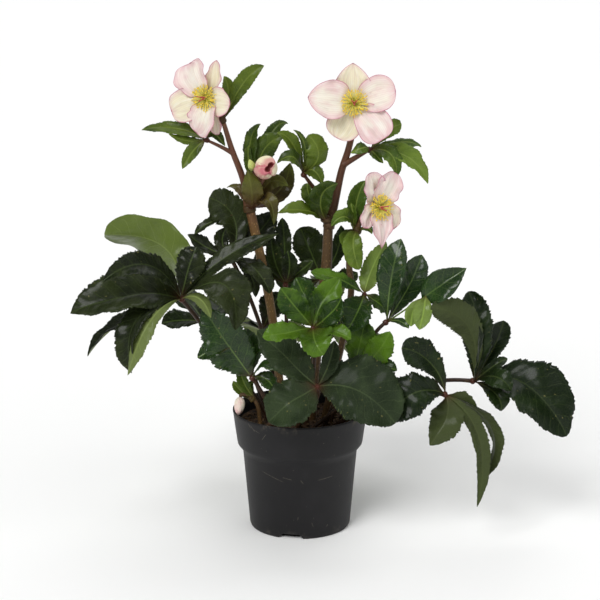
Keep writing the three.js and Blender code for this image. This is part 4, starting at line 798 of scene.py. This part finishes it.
# Blooms: the centre, the way the bloom looks, and the sepals. `level` raises or lowers a sepal over
# its neighbours, and `pink` is how pink, rather than cream, it is.
coneLook = {"heights": (-6, -4, -2, -0.5, 1), "radii": (2, 3.0, 3.6, 3.6, 3.2), "sides": 16}
sepalLook = {
    "rise": 0.62, "fall": 0.4, "rows": 34, "columns": 12, "thickness": 0.5, "cup": 1.2, "pleat": 0.8,
    "ruffle": 1.9, "crease": 0.5, "ridge": 1.3, "fold": 12, "least": 0.25, "back": 1.0, "out": 2.2,
    "cream": (229, 221, 190), "white": (233, 226, 212), "green": (206, 208, 142), "flush": (222, 184, 188),
    # The last two colours, of the lanes along the pleats, are painted shade and painted highlight.
    "margin": (180, 96, 126), "vein": (206, 162, 166), "rear": (224, 200, 184), "paintedShade": (200, 174, 166),
    "bright": (242, 238, 230),
}
blooms = {
    "left": {"centre": (-86, -8, 420), "axis": (-0.5, -0.85, 0.1), "sepals": [
        blade((-98, -6, 437), (-102, 2, 450), 18, level=1.4, fall=0.3, pink=0.6),
        blade((-104, -4, 413), (-120, 3, 405), 16, rise=0.5, pink=0.1),
        blade((-89, -14, 403), (-96, -9, 388), 15, level=1.2, rise=0.5, pink=0.45),
        blade((-75, -17, 418), (-64, -26, 417), 14, level=1, rise=0.5, pink=0.15),
        blade((-80, -10, 437), (-78, -11, 455), 8.5, level=-1.4, fall=0.6, pink=0),
        blade((-80, -8, 401), (-78, -11, 386), 7, level=-1.6, pink=0.2)]},
    "middle": {"centre": (50, -10, 415), "axis": (0, -0.97, 0.25), "sepals": [
        blade((49, -8, 433), (49, -9, 452), 18, level=-1.6, fall=0.8, pink=0.1),
        blade((69, -12, 423), (88, -16, 428), 17.5, pink=0.5),
        blade((65, -15, 399), (77, -19, 383), 17, level=1.6, fall=0.32, pink=0.65),
        blade((42, -10, 398), (34, -12, 383), 16.5, level=-1.4, pink=0),
        blade((28, -14, 419), (7, -19, 422), 19, level=1.4, fall=0.7, pink=0.5)]},
    "right": {"centre": (73, -14, 318), "axis": (0.5, -0.8, 0.1), "sepals": [
        blade((80, -12, 334), (89, -9, 350), 14.5, level=1.2, rise=0.48, pink=0.6),
        blade((69, -20, 337), (66, -24, 352), 12.5, level=-1.2, rise=0.42, pink=0.5),
        blade((64, -20, 312), (61, -25, 300), 10.5, level=0.6, rise=0.42, pink=0.5),
        blade((75, -19, 300), (76, -22, 280), 13, level=1.4, rise=0.55, fall=1.1, pink=0.7),
        blade((83, -12, 309), (90, -9, 296), 13, level=-1.4, rise=0.42, pink=0.2)]},
}


# Cream, flushed with pink towards a thin darker margin, green at the base, with veins that fan out
# at even shares of the width, and lanes of painted shade and painted highlight that run along them.
def sepalPaint():
    look = sepalLook
    paint = Paint("sepal", Subsurface_Weight=0.12, Subsurface_Radius=(0.003, 0.002, 0.0015),
                  Subsurface_Scale=1.0, Specular_IOR_Level=0.3)
    along, across, pink = paint.kept("place").three()
    share, under, rim = paint.kept("traits").three()
    cloud, wobble = paint.noise(55, 3), paint.noise(160)
    fan = share * 9 + wobble * 0.35
    vein = fan.maths("PINGPONG", fan, 0.5).fall(0.0, 0.16)
    lane = paint.node("CombineXYZ", None, {0: share * 3, 1: along * 0.03, 2: pink * 7})
    streak = paint.noise(1.6, 3, at=lane)
    colour = paint.layers(
        look["cream"], (pink.rise(0.0, 0.6), look["white"]),
        ((rim + cloud * 7 - pink * 6).fall(0.0, 10.0) * 0.85, look["flush"]),
        ((cloud + pink * 0.5).rise(0.65, 1.05) * 0.75, look["flush"]), (under * 0.6, look["rear"]),
        ((along + wobble * 6).fall(4.0, 16.0) * 0.75, look["green"]),
        # Painted shade and painted highlight in lanes along the pleats.
        (streak.rise(0.5, 0.7) * 0.4, look["paintedShade"]), (streak.fall(0.3, 0.5) * 0.4, look["bright"]),
        (vein * 0.3, look["vein"]), ((rim + wobble * 0.8).fall(0.5, 1.6) * 0.85, look["margin"]))
    return paint.done(colour, 0.5 + wobble * 0.15, vein * 0.8 + wobble * 0.8, 0.35, 0.0006)


# A sepal: a blade with a broad rounded tip, drawn on rows that crowd at base and tip. It is cupped
# along and across, pleated and creased from base to tip with one sharper ridge, and its edge rolls
# in slow waves.
def sepalPart(bloom, sepal, number):
    look = sepalLook
    centre, out = np.array(bloom["centre"], float), unit(bloom["axis"])
    way = np.subtract(sepal["tip"], centre)
    base = centre - out * look["back"] + unit(way - out * (way @ out)) * look["out"]
    t = (1 - np.cos(np.pi * np.linspace(0, 1, look["rows"] + 1))) / 2
    rib = ribOf(base, sepal, bloom["axis"], t)
    length, t = lengthOf(rib[0]), t[:, None]
    v = np.sin(np.pi / 2 * np.linspace(-1, 1, 2 * look["columns"] + 1))[None, :]
    chance, rising = draw(number), np.sin(np.pi * t)
    half = np.maximum(halfWidth(t, sepal, look), look["least"])
    half = half * (1 + 0.03 * np.sin(5 * t + v * 2 + 9 * chance))
    phase, fold = 2 * np.pi * chance, math.radians(look["fold"])
    lift = (half * math.sin(fold) * v * v + look["cup"] * (rising - 0.6)
            + look["pleat"] * np.cos(6 * v + phase) * rising * (1 - v ** 4)
            + look["crease"] * np.sin(11 * v + 3 * t + phase) * np.sin(7 * t + 2 * v) * (1 - v ** 4)
            + look["ridge"] * np.exp(-((v - 0.8 * chance + 0.4) / 0.13) ** 2) * rising
            + look["ruffle"] * v ** 4 * np.sin(5 * np.pi * t + phase + np.sign(v)) * rising
            + sepal.get("level", 0) * np.minimum(1, t / 0.2))
    thick = look["thickness"] / 2 * np.sqrt(1 - 0.95 * v ** 8) + 0 * t
    rim = np.minimum(half * (1 - np.abs(v)), (1 - t) * length)
    return sheetPart(rib, v * half * math.cos(fold), lift, thick, thick,
                     vectorsOf(t * length, v * half, sepal["pink"]),
                     [vectorsOf(v, under, rim) for under in (0.0, 1.0)])


# A bloom's sepals, grown from a cone of rings along its axis.
def sepalsParts(bloom, number):
    cone = rodPart(placed(bloom["centre"], bloom["axis"], 0, 0, coneLook["heights"]), coneLook["radii"],
                   coneLook["sides"], traits=(0, 1, 8))
    return [cone, *(sepalPart(bloom, sepal, 10 * number + i) for i, sepal in enumerate(bloom["sepals"]))]


# The axes of a bloom or bud: out is the way it faces, with right and up square to it.
def axesOf(axis):
    out = unit(axis)
    right = unit(np.cross([0, 0, 1], out))
    return out, right, np.cross(out, right)


# Points at an angle round the axis, a radius from it and a height in front of the centre.
def placed(centre, axis, angle, radius, height):
    out, right, up = axesOf(axis)
    angle, radius, height = (np.asarray(x, float)[..., None] for x in (angle, radius, height))
    circle = right * radius * np.cos(angle) + up * radius * np.sin(angle)
    return np.asarray(centre, float) + circle + out * height


# Stamens: `reach` and `height` run from the inner to the outer ones, and a head has a width and a
# length. The cups are nectaries. `rings` and the sides are those of each small rod.
stamenLook = {
    "count": 130, "turn": 2.39996, "foot": 2.4, "base": 1.3, "reach": (4.2, 13.4), "height": (8.6, 4.4),
    "thread": 0.27, "head": (0.85, 1.8), "cups": 12, "cupReach": (3.4, 5.4), "cupHeight": 3.0,
    "cupRadii": (0.5, 0.75, 0.95, 1.05, 0.7), "ringHeights": (1.3, 2.4), "ringRadii": (3.9, 3.8, 3.3),
    "threadColour": (232, 222, 116), "headColour": (240, 206, 52), "cupColour": (164, 168, 28),
    "pollen": (250, 228, 92), "rings": 6, "threadSides": 4, "headSides": 6, "cupSides": 8, "ringSides": 20,
}


# Threads of stamens rise from a ring and lean out, each by its own draw, and bear a plump head.
# Between them and the sepals stands a ring of small cups. A thread goes t^1.2 of the way from foot to
# reach across, and sin(1.4 t) / sin(1.4) of its height up.
def stamensParts(bloom, number):
    look = stamenLook
    count, rings = look["count"], look["rings"]
    index = np.arange(count)
    chances = lambda first: draw(first + 80 * number + index)[:, None]
    about = lambda angle, radius, height: placed(bloom["centre"], bloom["axis"], angle, radius, height)
    angle = index[:, None] * look["turn"] + chances(600) * 0.5
    lean = ((index + 0.5) / count)[:, None] ** 0.4
    (inner, outer), (tall, short) = look["reach"], look["height"]
    reach = (inner + (outer - inner) * lean) * (0.8 + 0.26 * chances(900))
    height = (tall - (tall - short) * lean) * (0.8 + 0.35 * chances(300))
    t = np.linspace(0, 1, rings)[None, :]
    course = about(angle + 0 * t, look["foot"] + (reach - look["foot"]) * t ** 1.2,
                   look["base"] + height * np.sin(1.4 * t) / math.sin(1.4))
    threads = manyRods(course, np.full((count, rings), look["thread"]), look["threadSides"], (0, 0, 0))
    tipWay = unit(course[:, -1] - course[:, -2])
    turn = unit(np.cross(tipWay, draw(index[:, None] * 3 + np.arange(3)) - 0.5) + tipWay * 0.5)
    width, length = look["head"]
    plump = width / 2 * np.sqrt(1 - np.linspace(-0.97, 0.97, rings)[None] ** 2)
    place = np.linspace(-1, 1, rings)[None, :, None]
    heads = manyRods(course[:, -1:, :] + turn[:, None] * place * length / 2,
                     np.repeat(plump, count, 0), look["headSides"], (1, 0, 0))
    cup, t = np.arange(look["cups"])[:, None], np.linspace(0, 1, len(look["cupRadii"]))[None, :]
    near, far = look["cupReach"]
    cups = manyRods(about(cup * 2 * np.pi / look["cups"] + 0 * t, near + (far - near) * t,
                          look["base"] + look["cupHeight"] * t ** 0.8),
                    np.repeat([look["cupRadii"]], look["cups"], 0), look["cupSides"], (2, 0, 0))
    ring = rodPart(about(0, 0, np.linspace(*look["ringHeights"], 5)), look["ringRadii"], look["ringSides"],
                   traits=(2, 0, 0))
    return [threads, heads, cups, ring]


# Pale threads, golden heads with a grain of pollen, and green cups.
def stamenPaint():
    look = stamenLook
    paint = Paint("stamen", Subsurface_Weight=0.1, Subsurface_Radius=(0.002, 0.0015, 0.0005))
    kind, grain = paint.kept("traits").three()[0], paint.noise(2500)
    colour = paint.layers(look["threadColour"], (kind.rise(0.2, 0.8), look["headColour"]),
                          (kind.rise(1.2, 1.8), look["cupColour"]),
                          (grain.rise(0.5, 0.75) * 0.35, look["pollen"]))
    return paint.done(colour, 0.55 + grain * 0.2, grain, 0.4, 0.0003)


pistilLook = {"count": 3, "base": 1.3, "height": 12.6, "axis": 0.75, "spread": 1.95, "footTop": 3.6,
              "footRadii": (1.7, 1.7, 1.2), "footSides": 16, "rings": 12, "sides": 10,
              "foot": (206, 190, 110), "style": (190, 58, 80)}


# Three carpels side by side: each swells low down, narrows to a curved style and ends in a knob. Its
# radius adds a bell curve of the share t for the swelling and one for the knob, and it leaves the
# axis by spread x t^2.2.
def pistilParts(bloom):
    look = pistilLook
    count, rings, sides = (look[key] for key in ("count", "rings", "sides"))
    angle = (2 * np.pi * (np.arange(count) + 0.25) / count)[:, None]
    t = np.linspace(0, 1, rings)[None, :]
    course = placed(bloom["centre"], bloom["axis"], angle + 0 * t, look["axis"] + look["spread"] * t ** 2.2,
                    look["base"] + look["height"] * t)
    radii = 0.42 + 0.75 * np.exp(-((t - 0.22) / 0.22) ** 2) + 0.16 * np.exp(-((t - 0.97) / 0.05) ** 2)
    shares = np.broadcast_to(t[..., None], (count, rings, sides))
    carpels = manyRods(course, np.repeat(radii, count, 0), sides, vectorsOf(shares, 0.0, 0.0))
    foot = placed(bloom["centre"], bloom["axis"], 0, 0, np.linspace(look["base"], look["footTop"], 5))
    return [rodPart(foot, look["footRadii"], look["footSides"]), carpels]


# Yellow-green at the foot, pink to red along the styles.
def pistilPaint():
    paint = Paint("pistil", Specular_IOR_Level=0.4)
    share, grain = paint.kept("traits").three()[0], paint.noise(1400)
    colour = paint.layers(pistilLook["foot"], ((share + grain * 0.2).rise(0.3, 0.65), pistilLook["style"]))
    return paint.done(colour, 0.45 + grain * 0.2, grain, 0.3, 0.0003)


# Buds: base, the way the bud looks, and rings of height along that way and radius. The wrapped sepals
# step in at their edges. An open bud widens, narrows to an oval and turns its mouth aside. `blush` is
# how pink it is all over, and `side` how pink on its left and along the edges.
closedBud = {"wraps": 5, "blush": 0, "mouth": (0, 0), "narrow": 0, "open": 0, "side": 0}
budLook = {"sides": 60, "steps": 40, "least": 0.3, "twist": 0.9}
buds = {
    "west": {**closedBud, "base": (-31, -3, 351), "axis": (-0.1, -0.85, 0.4), "slot": "bud",
        "rings": [(0, 2.4), (2.5, 8.5), (7, 11.6), (13, 11.2), (17, 8), (18, 5.4), (13, 3)],
        "cream": (228, 218, 186), "pink": (178, 70, 96), "throat": (112, 40, 38), "wraps": 3, "step": 0.2,
        "mouth": (4.2, -1.6), "narrow": 0.7, "open": 0.38, "side": 0.65},
    "small": {**closedBud, "base": (-44, -2, 351), "axis": (-0.28, -0.55, 1), "slot": "bud_pale",
        "rings": [(0, 1.5), (2.5, 3.3), (6, 3.6), (10, 2.2), (12.5, 0.8)],
        "cream": (196, 204, 120), "pink": (176, 190, 98), "throat": (150, 160, 80), "step": 0.06,
        "blush": 0.2},
    "low": {**closedBud, "base": (-57, -14, 132), "axis": (-0.12, -0.2, -1), "slot": "bud",
        "rings": [(0, 2), (3, 4.6), (9, 5.2), (14, 3.6), (17, 1.2)],
        "cream": (236, 226, 208), "pink": (214, 140, 156), "throat": (150, 60, 80), "step": 0.07,
        "blush": 0.3, "side": 0.3},
}


# A bud: rings about its axis. The radius follows the listed rings along a smooth course, and steps
# in by `step` once for each wrapped sepal, at angle x wraps / 2 pi plus a twist with height. The
# mouth narrows to an oval and lies off the middle, by `mouth` millimetres right and up.
def budParts(bud):
    listed = np.array([(*ring, 0) for ring in bud["rings"]], float)
    course = smoothCourse(listed, budLook["steps"])
    height, radius = course[:, :1], np.maximum(course[:, 1:2], budLook["least"])
    angle = around(budLook["sides"])[None, :]
    share = np.linspace(0, 1, budLook["steps"] + 1)[:, None]
    wrap = (bud["wraps"] * angle / (2 * np.pi) + budLook["twist"] * share) % 1
    closing = ease(share, 0.45, 0.8)
    oval = 1 - bud["narrow"] * closing * (1 - 0.7 * np.cos(2 * angle - 2)) / 1.7
    full = radius * (1 - bud["step"] * wrap + 0.02 * np.sin(3 * angle)) * oval * (1 + bud["open"] * closing)
    out, right, up = axesOf(bud["axis"])
    aside = closing[..., None] * (right * bud["mouth"][0] + up * bud["mouth"][1])
    rings = placed(bud["base"], bud["axis"], angle + 0 * share, full, height + 0 * angle) + aside
    top = np.argmax(listed[:, 0]) / (len(listed) - 1)
    inside = ease(share, top - 0.02, min(1.0, top + 0.06)) if top < 0.95 else 0 * share
    return [part(rings, vectorsOf(height, np.cos(angle), np.sin(angle)), vectorsOf(wrap, share, inside))]


# Cream or green, pinker low on its left and along the overlapping edges, dark red inside: the inner colour
# deepened by painted shade in the mouth.
def budPaint(name, look):
    paint = Paint("bud_" + name, Subsurface_Weight=0.1, Subsurface_Radius=(0.003, 0.002, 0.0015),
                  Specular_IOR_Level=0.35)
    place, cloud = paint.kept("place"), paint.noise(130, 3)
    (wrap, share, inside), (height, right, up) = paint.kept("traits").three(), place.three()
    streak = paint.noise(1.6, 3, at=place.stretched(0.25, 2, 2))
    low = (cloud * 1.2 + streak * 1.6 - right * 0.4 - up * 0.5).rise(1.35, 2.0)
    lip = (share + cloud * 0.1).rise(0.62, 0.74) * look["side"]
    edges = (wrap.fall(0.0, 0.12) + wrap.rise(0.9, 1.0)) * 0.8 + lip
    colour = paint.layers(look["cream"], (cloud.rise(0.4, 0.7) * look["blush"], look["pink"]),
                          (low * look["side"], look["pink"]), (edges, look["pink"]),
                          # Inside the mouth: dark red, partly the inner colour and partly painted shade.
                          (inside, look["throat"]))
    return paint.done(colour, 0.42 + cloud * 0.2, cloud, 0.2, 0.0005)


# The pot's profile is radius and height, from the middle of its underside up the outside, over the
# rim and down inside. Scratches are x and z of the middle, lean in degrees and length. What the paint
# alone reads, from `rimDust` to `scratchWander`, is in metres.
potLook = {
    "profile": [
        (0, 0), (20, 0), (38, 0), (40.1, 0), (40.2, 0.001), (44, 0), (46.2, 0),
        (47.0, 0), (48.0, 0.5), (48.9, 2.6), (49.4, 8), (52.3, 42), (55.2, 75), (55.9, 77.6), (58.9, 81.6),
        (60.4, 83.6), (60.9, 86), (63.0, 101), (64.6, 113.6), (65.0, 115.2), (65.0, 116.6), (64.4, 117.3),
        (63.6, 117.2), (63.2, 116.2), (62.6, 108), (61.0, 96), (59.6, 86), (58.9, 84), (54.6, 78),
        (54.1, 74), (48.6, 10), (48.0, 3.2), (46.4, 1.6), (40.2, 1.4), (38.5, 1.3), (20, 1.2), (0, 1.2)],
    "around": 180, "footRadius": 47, "oval": 0.0015, "least": 0.01,
    "notches": 3, "firstNotch": -101, "notchWidth": 23, "notchTop": 17, "notchHeight": 4.6,
    "notchFrom": 40.1, "notchFade": 9,
    "colour": (14, 13, 15), "worn": (28, 27, 29), "dust": (120, 112, 98),
    "rimDust": (0.108, 0.117), "footDust": (0.0, 0.012), "scratchHalf": 0.0004, "scratchWander": 0.0006,
    "scratches": [
        (-26, 63, -20, 24), (2, 60, -55, 5), (24, 62, 8, 16), (-12, 63, -12, 10), (-34, 105, 60, 8),
        (12, 15, -70, 5), (-45, 111, -50, 8), (-41, 109, -25, 7), (-48, 113, -60, 5), (26, 12, 60, 3),
        (-2, 22, 80, 4)],
}


# The pot is turned from its profile. In each notch the foot's edge is lifted to the height of a
# trapezoid, h = height * clip((half width - distance) / slope), and the lift fades out by 9 mm up.
def potParts():
    look = potLook
    profile = np.array(look["profile"], float)
    angle = around(look["around"])
    sector = 2 * np.pi / look["notches"]
    turned = angle - math.radians(look["firstNotch"]) + sector / 2
    off = np.abs(turned % sector - sector / 2) * look["footRadius"]
    slope = (look["notchWidth"] - look["notchTop"]) / 2
    notch = look["notchHeight"] * np.clip((look["notchWidth"] / 2 - off) / slope, 0, 1)
    radius, height = profile[:, :1], profile[:, 1:]
    lift = (notch[None] * np.clip((radius - look["notchFrom"]) / 0.1, 0, 1)
            * np.clip(1 - height / look["notchFade"], 0, 1))
    radius = np.maximum(radius, look["least"]) * (1 + look["oval"] * np.sin(2 * angle)[None])
    return [part(vectorsOf(radius * np.cos(angle), radius * np.sin(angle), height + lift))]


# Charcoal plastic with a fine grain, worn paler in patches, dusted at the rim and foot, with a few
# scratches: each is where a point's distance from a short line on the front is under 0.4 mm.
def potPaint():
    look = potLook
    paint = Paint("pot", Specular_IOR_Level=0.3)
    x, y, z = paint.spot.three()
    grain, patch, dust = paint.noise(1800), paint.noise(22, 4, 0.6), paint.noise(90, 5, 0.65)
    rimDust = z.rise(*look["rimDust"]) * dust.rise(0.5, 0.72)
    footDust = z.fall(*look["footDust"]) * dust.rise(0.5, 0.7)
    scratch = 0.0
    for middleX, middleZ, lean, length in look["scratches"]:
        dx, dz = x - middleX * millimetre, z - middleZ * millimetre
        cosine, sine = math.cos(math.radians(lean)), math.sin(math.radians(lean))
        on = abs(dx * cosine + dz * sine).fall(0.35 * length * millimetre, 0.5 * length * millimetre)
        off = abs(dz * cosine - dx * sine + (grain - 0.5) * look["scratchWander"])
        scratch = on * off.fall(0.0, look["scratchHalf"]) + scratch
    scratch = scratch * y.maths("LESS_THAN", y, 0.0) * grain.rise(0.3, 0.6)
    colour = paint.layers(
        look["colour"], (patch.rise(0.45, 0.75) * 0.6, look["worn"]),
        (rimDust * 0.45 + footDust * 0.3, look["dust"]),
        (paint.cells(170).fall(0.035, 0.06) * dust.rise(0.45, 0.6) * 0.7, look["dust"]),
        (scratch * 0.5, look["dust"]))
    return paint.done(colour, 0.46 + patch * 0.16 + rimDust * 0.3, grain * 0.5 + patch - scratch * 0.5,
                      0.25, 0.0004)


# The soil: `under` lists radius and height of its unseen part, which follows the pot's inside. The
# draws are where those of the crumbs' distances, angles and sizes start.
soilLook = {
    "top": 104, "radius": 60.2, "rings": 46, "around": 150, "middle": 0.05, "wave": 3.5, "rough": 1.3,
    "under": [(0.05, 1.7), (37, 1.7), (38.5, 6.4), (46.5, 6.6), (48.4, 12), (53.4, 74), (54, 78),
              (58.4, 84.5), (60.2, 99)],
    "crumbs": 900, "crumbRings": 5, "crumbSides": 6, "strewn": 0.96, "flat": 0.8,
    "draws": (5000, 7000, 9000), "size": (0.6, 1.5),
    "dark": (30, 22, 17), "pale": (74, 54, 38), "fleck": (150, 120, 84),
}


# The soil's surface: sin x times sin y, half a wave that crosses them, and finer lumps, which are
# sines that other sines shift.
def soilHeight(x, y):
    wave = soilLook["wave"]
    broad = np.sin(x / wave) * np.sin(y / wave + 1) + 0.5 * np.sin(2 * (x - y) / wave)
    fine = np.sin(1.9 * x + 3 * np.sin(0.7 * y)) * np.sin(1.7 * y + 2 * np.sin(0.9 * x))
    return soilLook["rough"] * broad + 0.5 * fine


# A disc of rings whose edge lies against the pot, closed below by rings that follow the pot's
# inside, and crumbs strewn over it by the square root of a draw: small bumpy balls on the surface,
# whose radius at the share `lift` of their height is size x sqrt(1 - 0.97 lift^2), times a draw.
def soilParts():
    look = soilLook
    share = np.linspace(0, 1, look["rings"])[:, None]
    angle = around(look["around"])[None, :]
    radius = np.maximum(look["radius"] * (1 - share), look["middle"]) + 0 * angle
    x, y = radius * np.cos(angle), radius * np.sin(angle)
    top = vectorsOf(x, y, look["top"] - 1 + (1 + soilHeight(x, y)) * np.minimum(1, share / 0.04))
    r, z = np.array(look["under"]).T[..., None]
    body = part(np.concatenate([vectorsOf(r * np.cos(angle), r * np.sin(angle), z), top]))
    rings, sides, index = look["crumbRings"], look["crumbSides"], np.arange(look["crumbs"])
    distance, turn, large = (draw(index + start) for start in look["draws"])
    r, a = look["radius"] * look["strewn"] * np.sqrt(distance), 2 * np.pi * turn
    least, more = look["size"]
    size = least + more * large ** 3
    x, y = r * np.cos(a), r * np.sin(a)
    middle = vectorsOf(x, y, look["top"] + soilHeight(x, y) + 0.3 * size)
    lift, angle = np.linspace(-1, 1, rings)[None, :, None], around(sides)
    size = size[:, None, None]
    ball = size * np.sqrt(1 - 0.97 * lift ** 2) * (
        0.75 + 0.5 * draw(index[:, None, None] * 30 + np.arange(rings)[:, None] * 6 + np.arange(sides)))
    crumbs = vectorsOf(ball * np.cos(angle), ball * np.sin(angle), size * lift * look["flat"])
    return [body, part(middle[:, None, None] + crumbs, traits=(1, 0, 0))]


# Dark peat with paler fibres and crumbs.
def soilPaint():
    look = soilLook
    paint = Paint("soil", Specular_IOR_Level=0.2)
    loose, clod = paint.kept("traits").three()[0], paint.noise(160, 6, 0.7)
    fibre = paint.noise(900, at=paint.spot.stretched(1, 0.25, 1)).rise(0.62, 0.72)
    colour = paint.layers(look["dark"], (clod.rise(0.35, 0.7), look["pale"]),
                          (fibre * 0.35 + loose * clod * 0.2, look["fleck"]))
    return paint.done(colour, 0.85 + clod * 0.1, clod, 0.7, 0.0015)


# What is painted how: a leaf by its tone, or by its own mood instead.
# The `shade` mood is painted shade.
moods = {"far_east": "shade", "south_east": "shade", "front": "dusty", "south_west": "gloss"}
slots = {"dark": "leaf_dark", "mid": "leaf_dark", "gloss": "leaf_gloss", "bright": "leaf_bright"}
sprays = ("bloom_middle", "right", "low")
paints = {tone: leafPaint("leaf_" + tone, tone) for tone in leafTones if tone not in ("bract", "spray")}
paints.update({tone: leafPaint(tone, tone) for tone in ("bract", "spray")})
paints.update({tone: stalkPaint(tone) for tone in stalkTones})
paints.update(sepal=sepalPaint(), stamen=stamenPaint(), pistil=pistilPaint())

for number, (name, leaf) in enumerate(leaves.items()):
    makePiece("petiole_" + name, "petiole", paints["petiole"], [petiolePart(leaf, number)])
    makePiece("leaf_" + name, slots[leaf["tone"]], paints[moods.get(name, leaf["tone"])],
              leafParts(leaf, number))
print("leaves grown:", len(leaves))

for number, (name, stem) in enumerate(stems.items()):
    makePiece("stem_" + name, "stem", paints["stem"], stemParts(stem, number))
for number, (name, whorl) in enumerate(whorls.items()):
    makePiece("bracts_" + name, "bract", paints["spray" if name in sprays else "bract"],
              whorlParts(name, whorl, 20 + number))
print("stems and bracts grown:", len(stems), len(whorls))

for number, (name, bloom) in enumerate(blooms.items()):
    makePiece("sepals_" + name, "sepal", paints["sepal"], sepalsParts(bloom, 40 + number))
    makePiece("stamens_" + name, "stamen", paints["stamen"], stamensParts(bloom, number))
    makePiece("pistil_" + name, "pistil", paints["pistil"], pistilParts(bloom))
for name, bud in buds.items():
    makePiece("bud_" + name, bud["slot"], budPaint(name, bud), budParts(bud))
print("blooms and buds opened:", len(blooms), len(buds))

makePiece("pot", "pot", potPaint(), potParts())
makePiece("soil", "soil", soilPaint(), soilParts())
print("pot filled")

far = studio["floorReach"]
floorMesh = bpy.data.meshes.new("floor")
floorMesh.from_pydata([(-far, -far, 0), (far, -far, 0), (far, far, 0), (-far, far, 0)], [], [(0, 1, 2, 3)])
floorMesh.materials.append(Paint("floor", Base_Color=tint(*studio["floor"]), Roughness=0.9).material)
floor = addObject("floor", floorMesh)
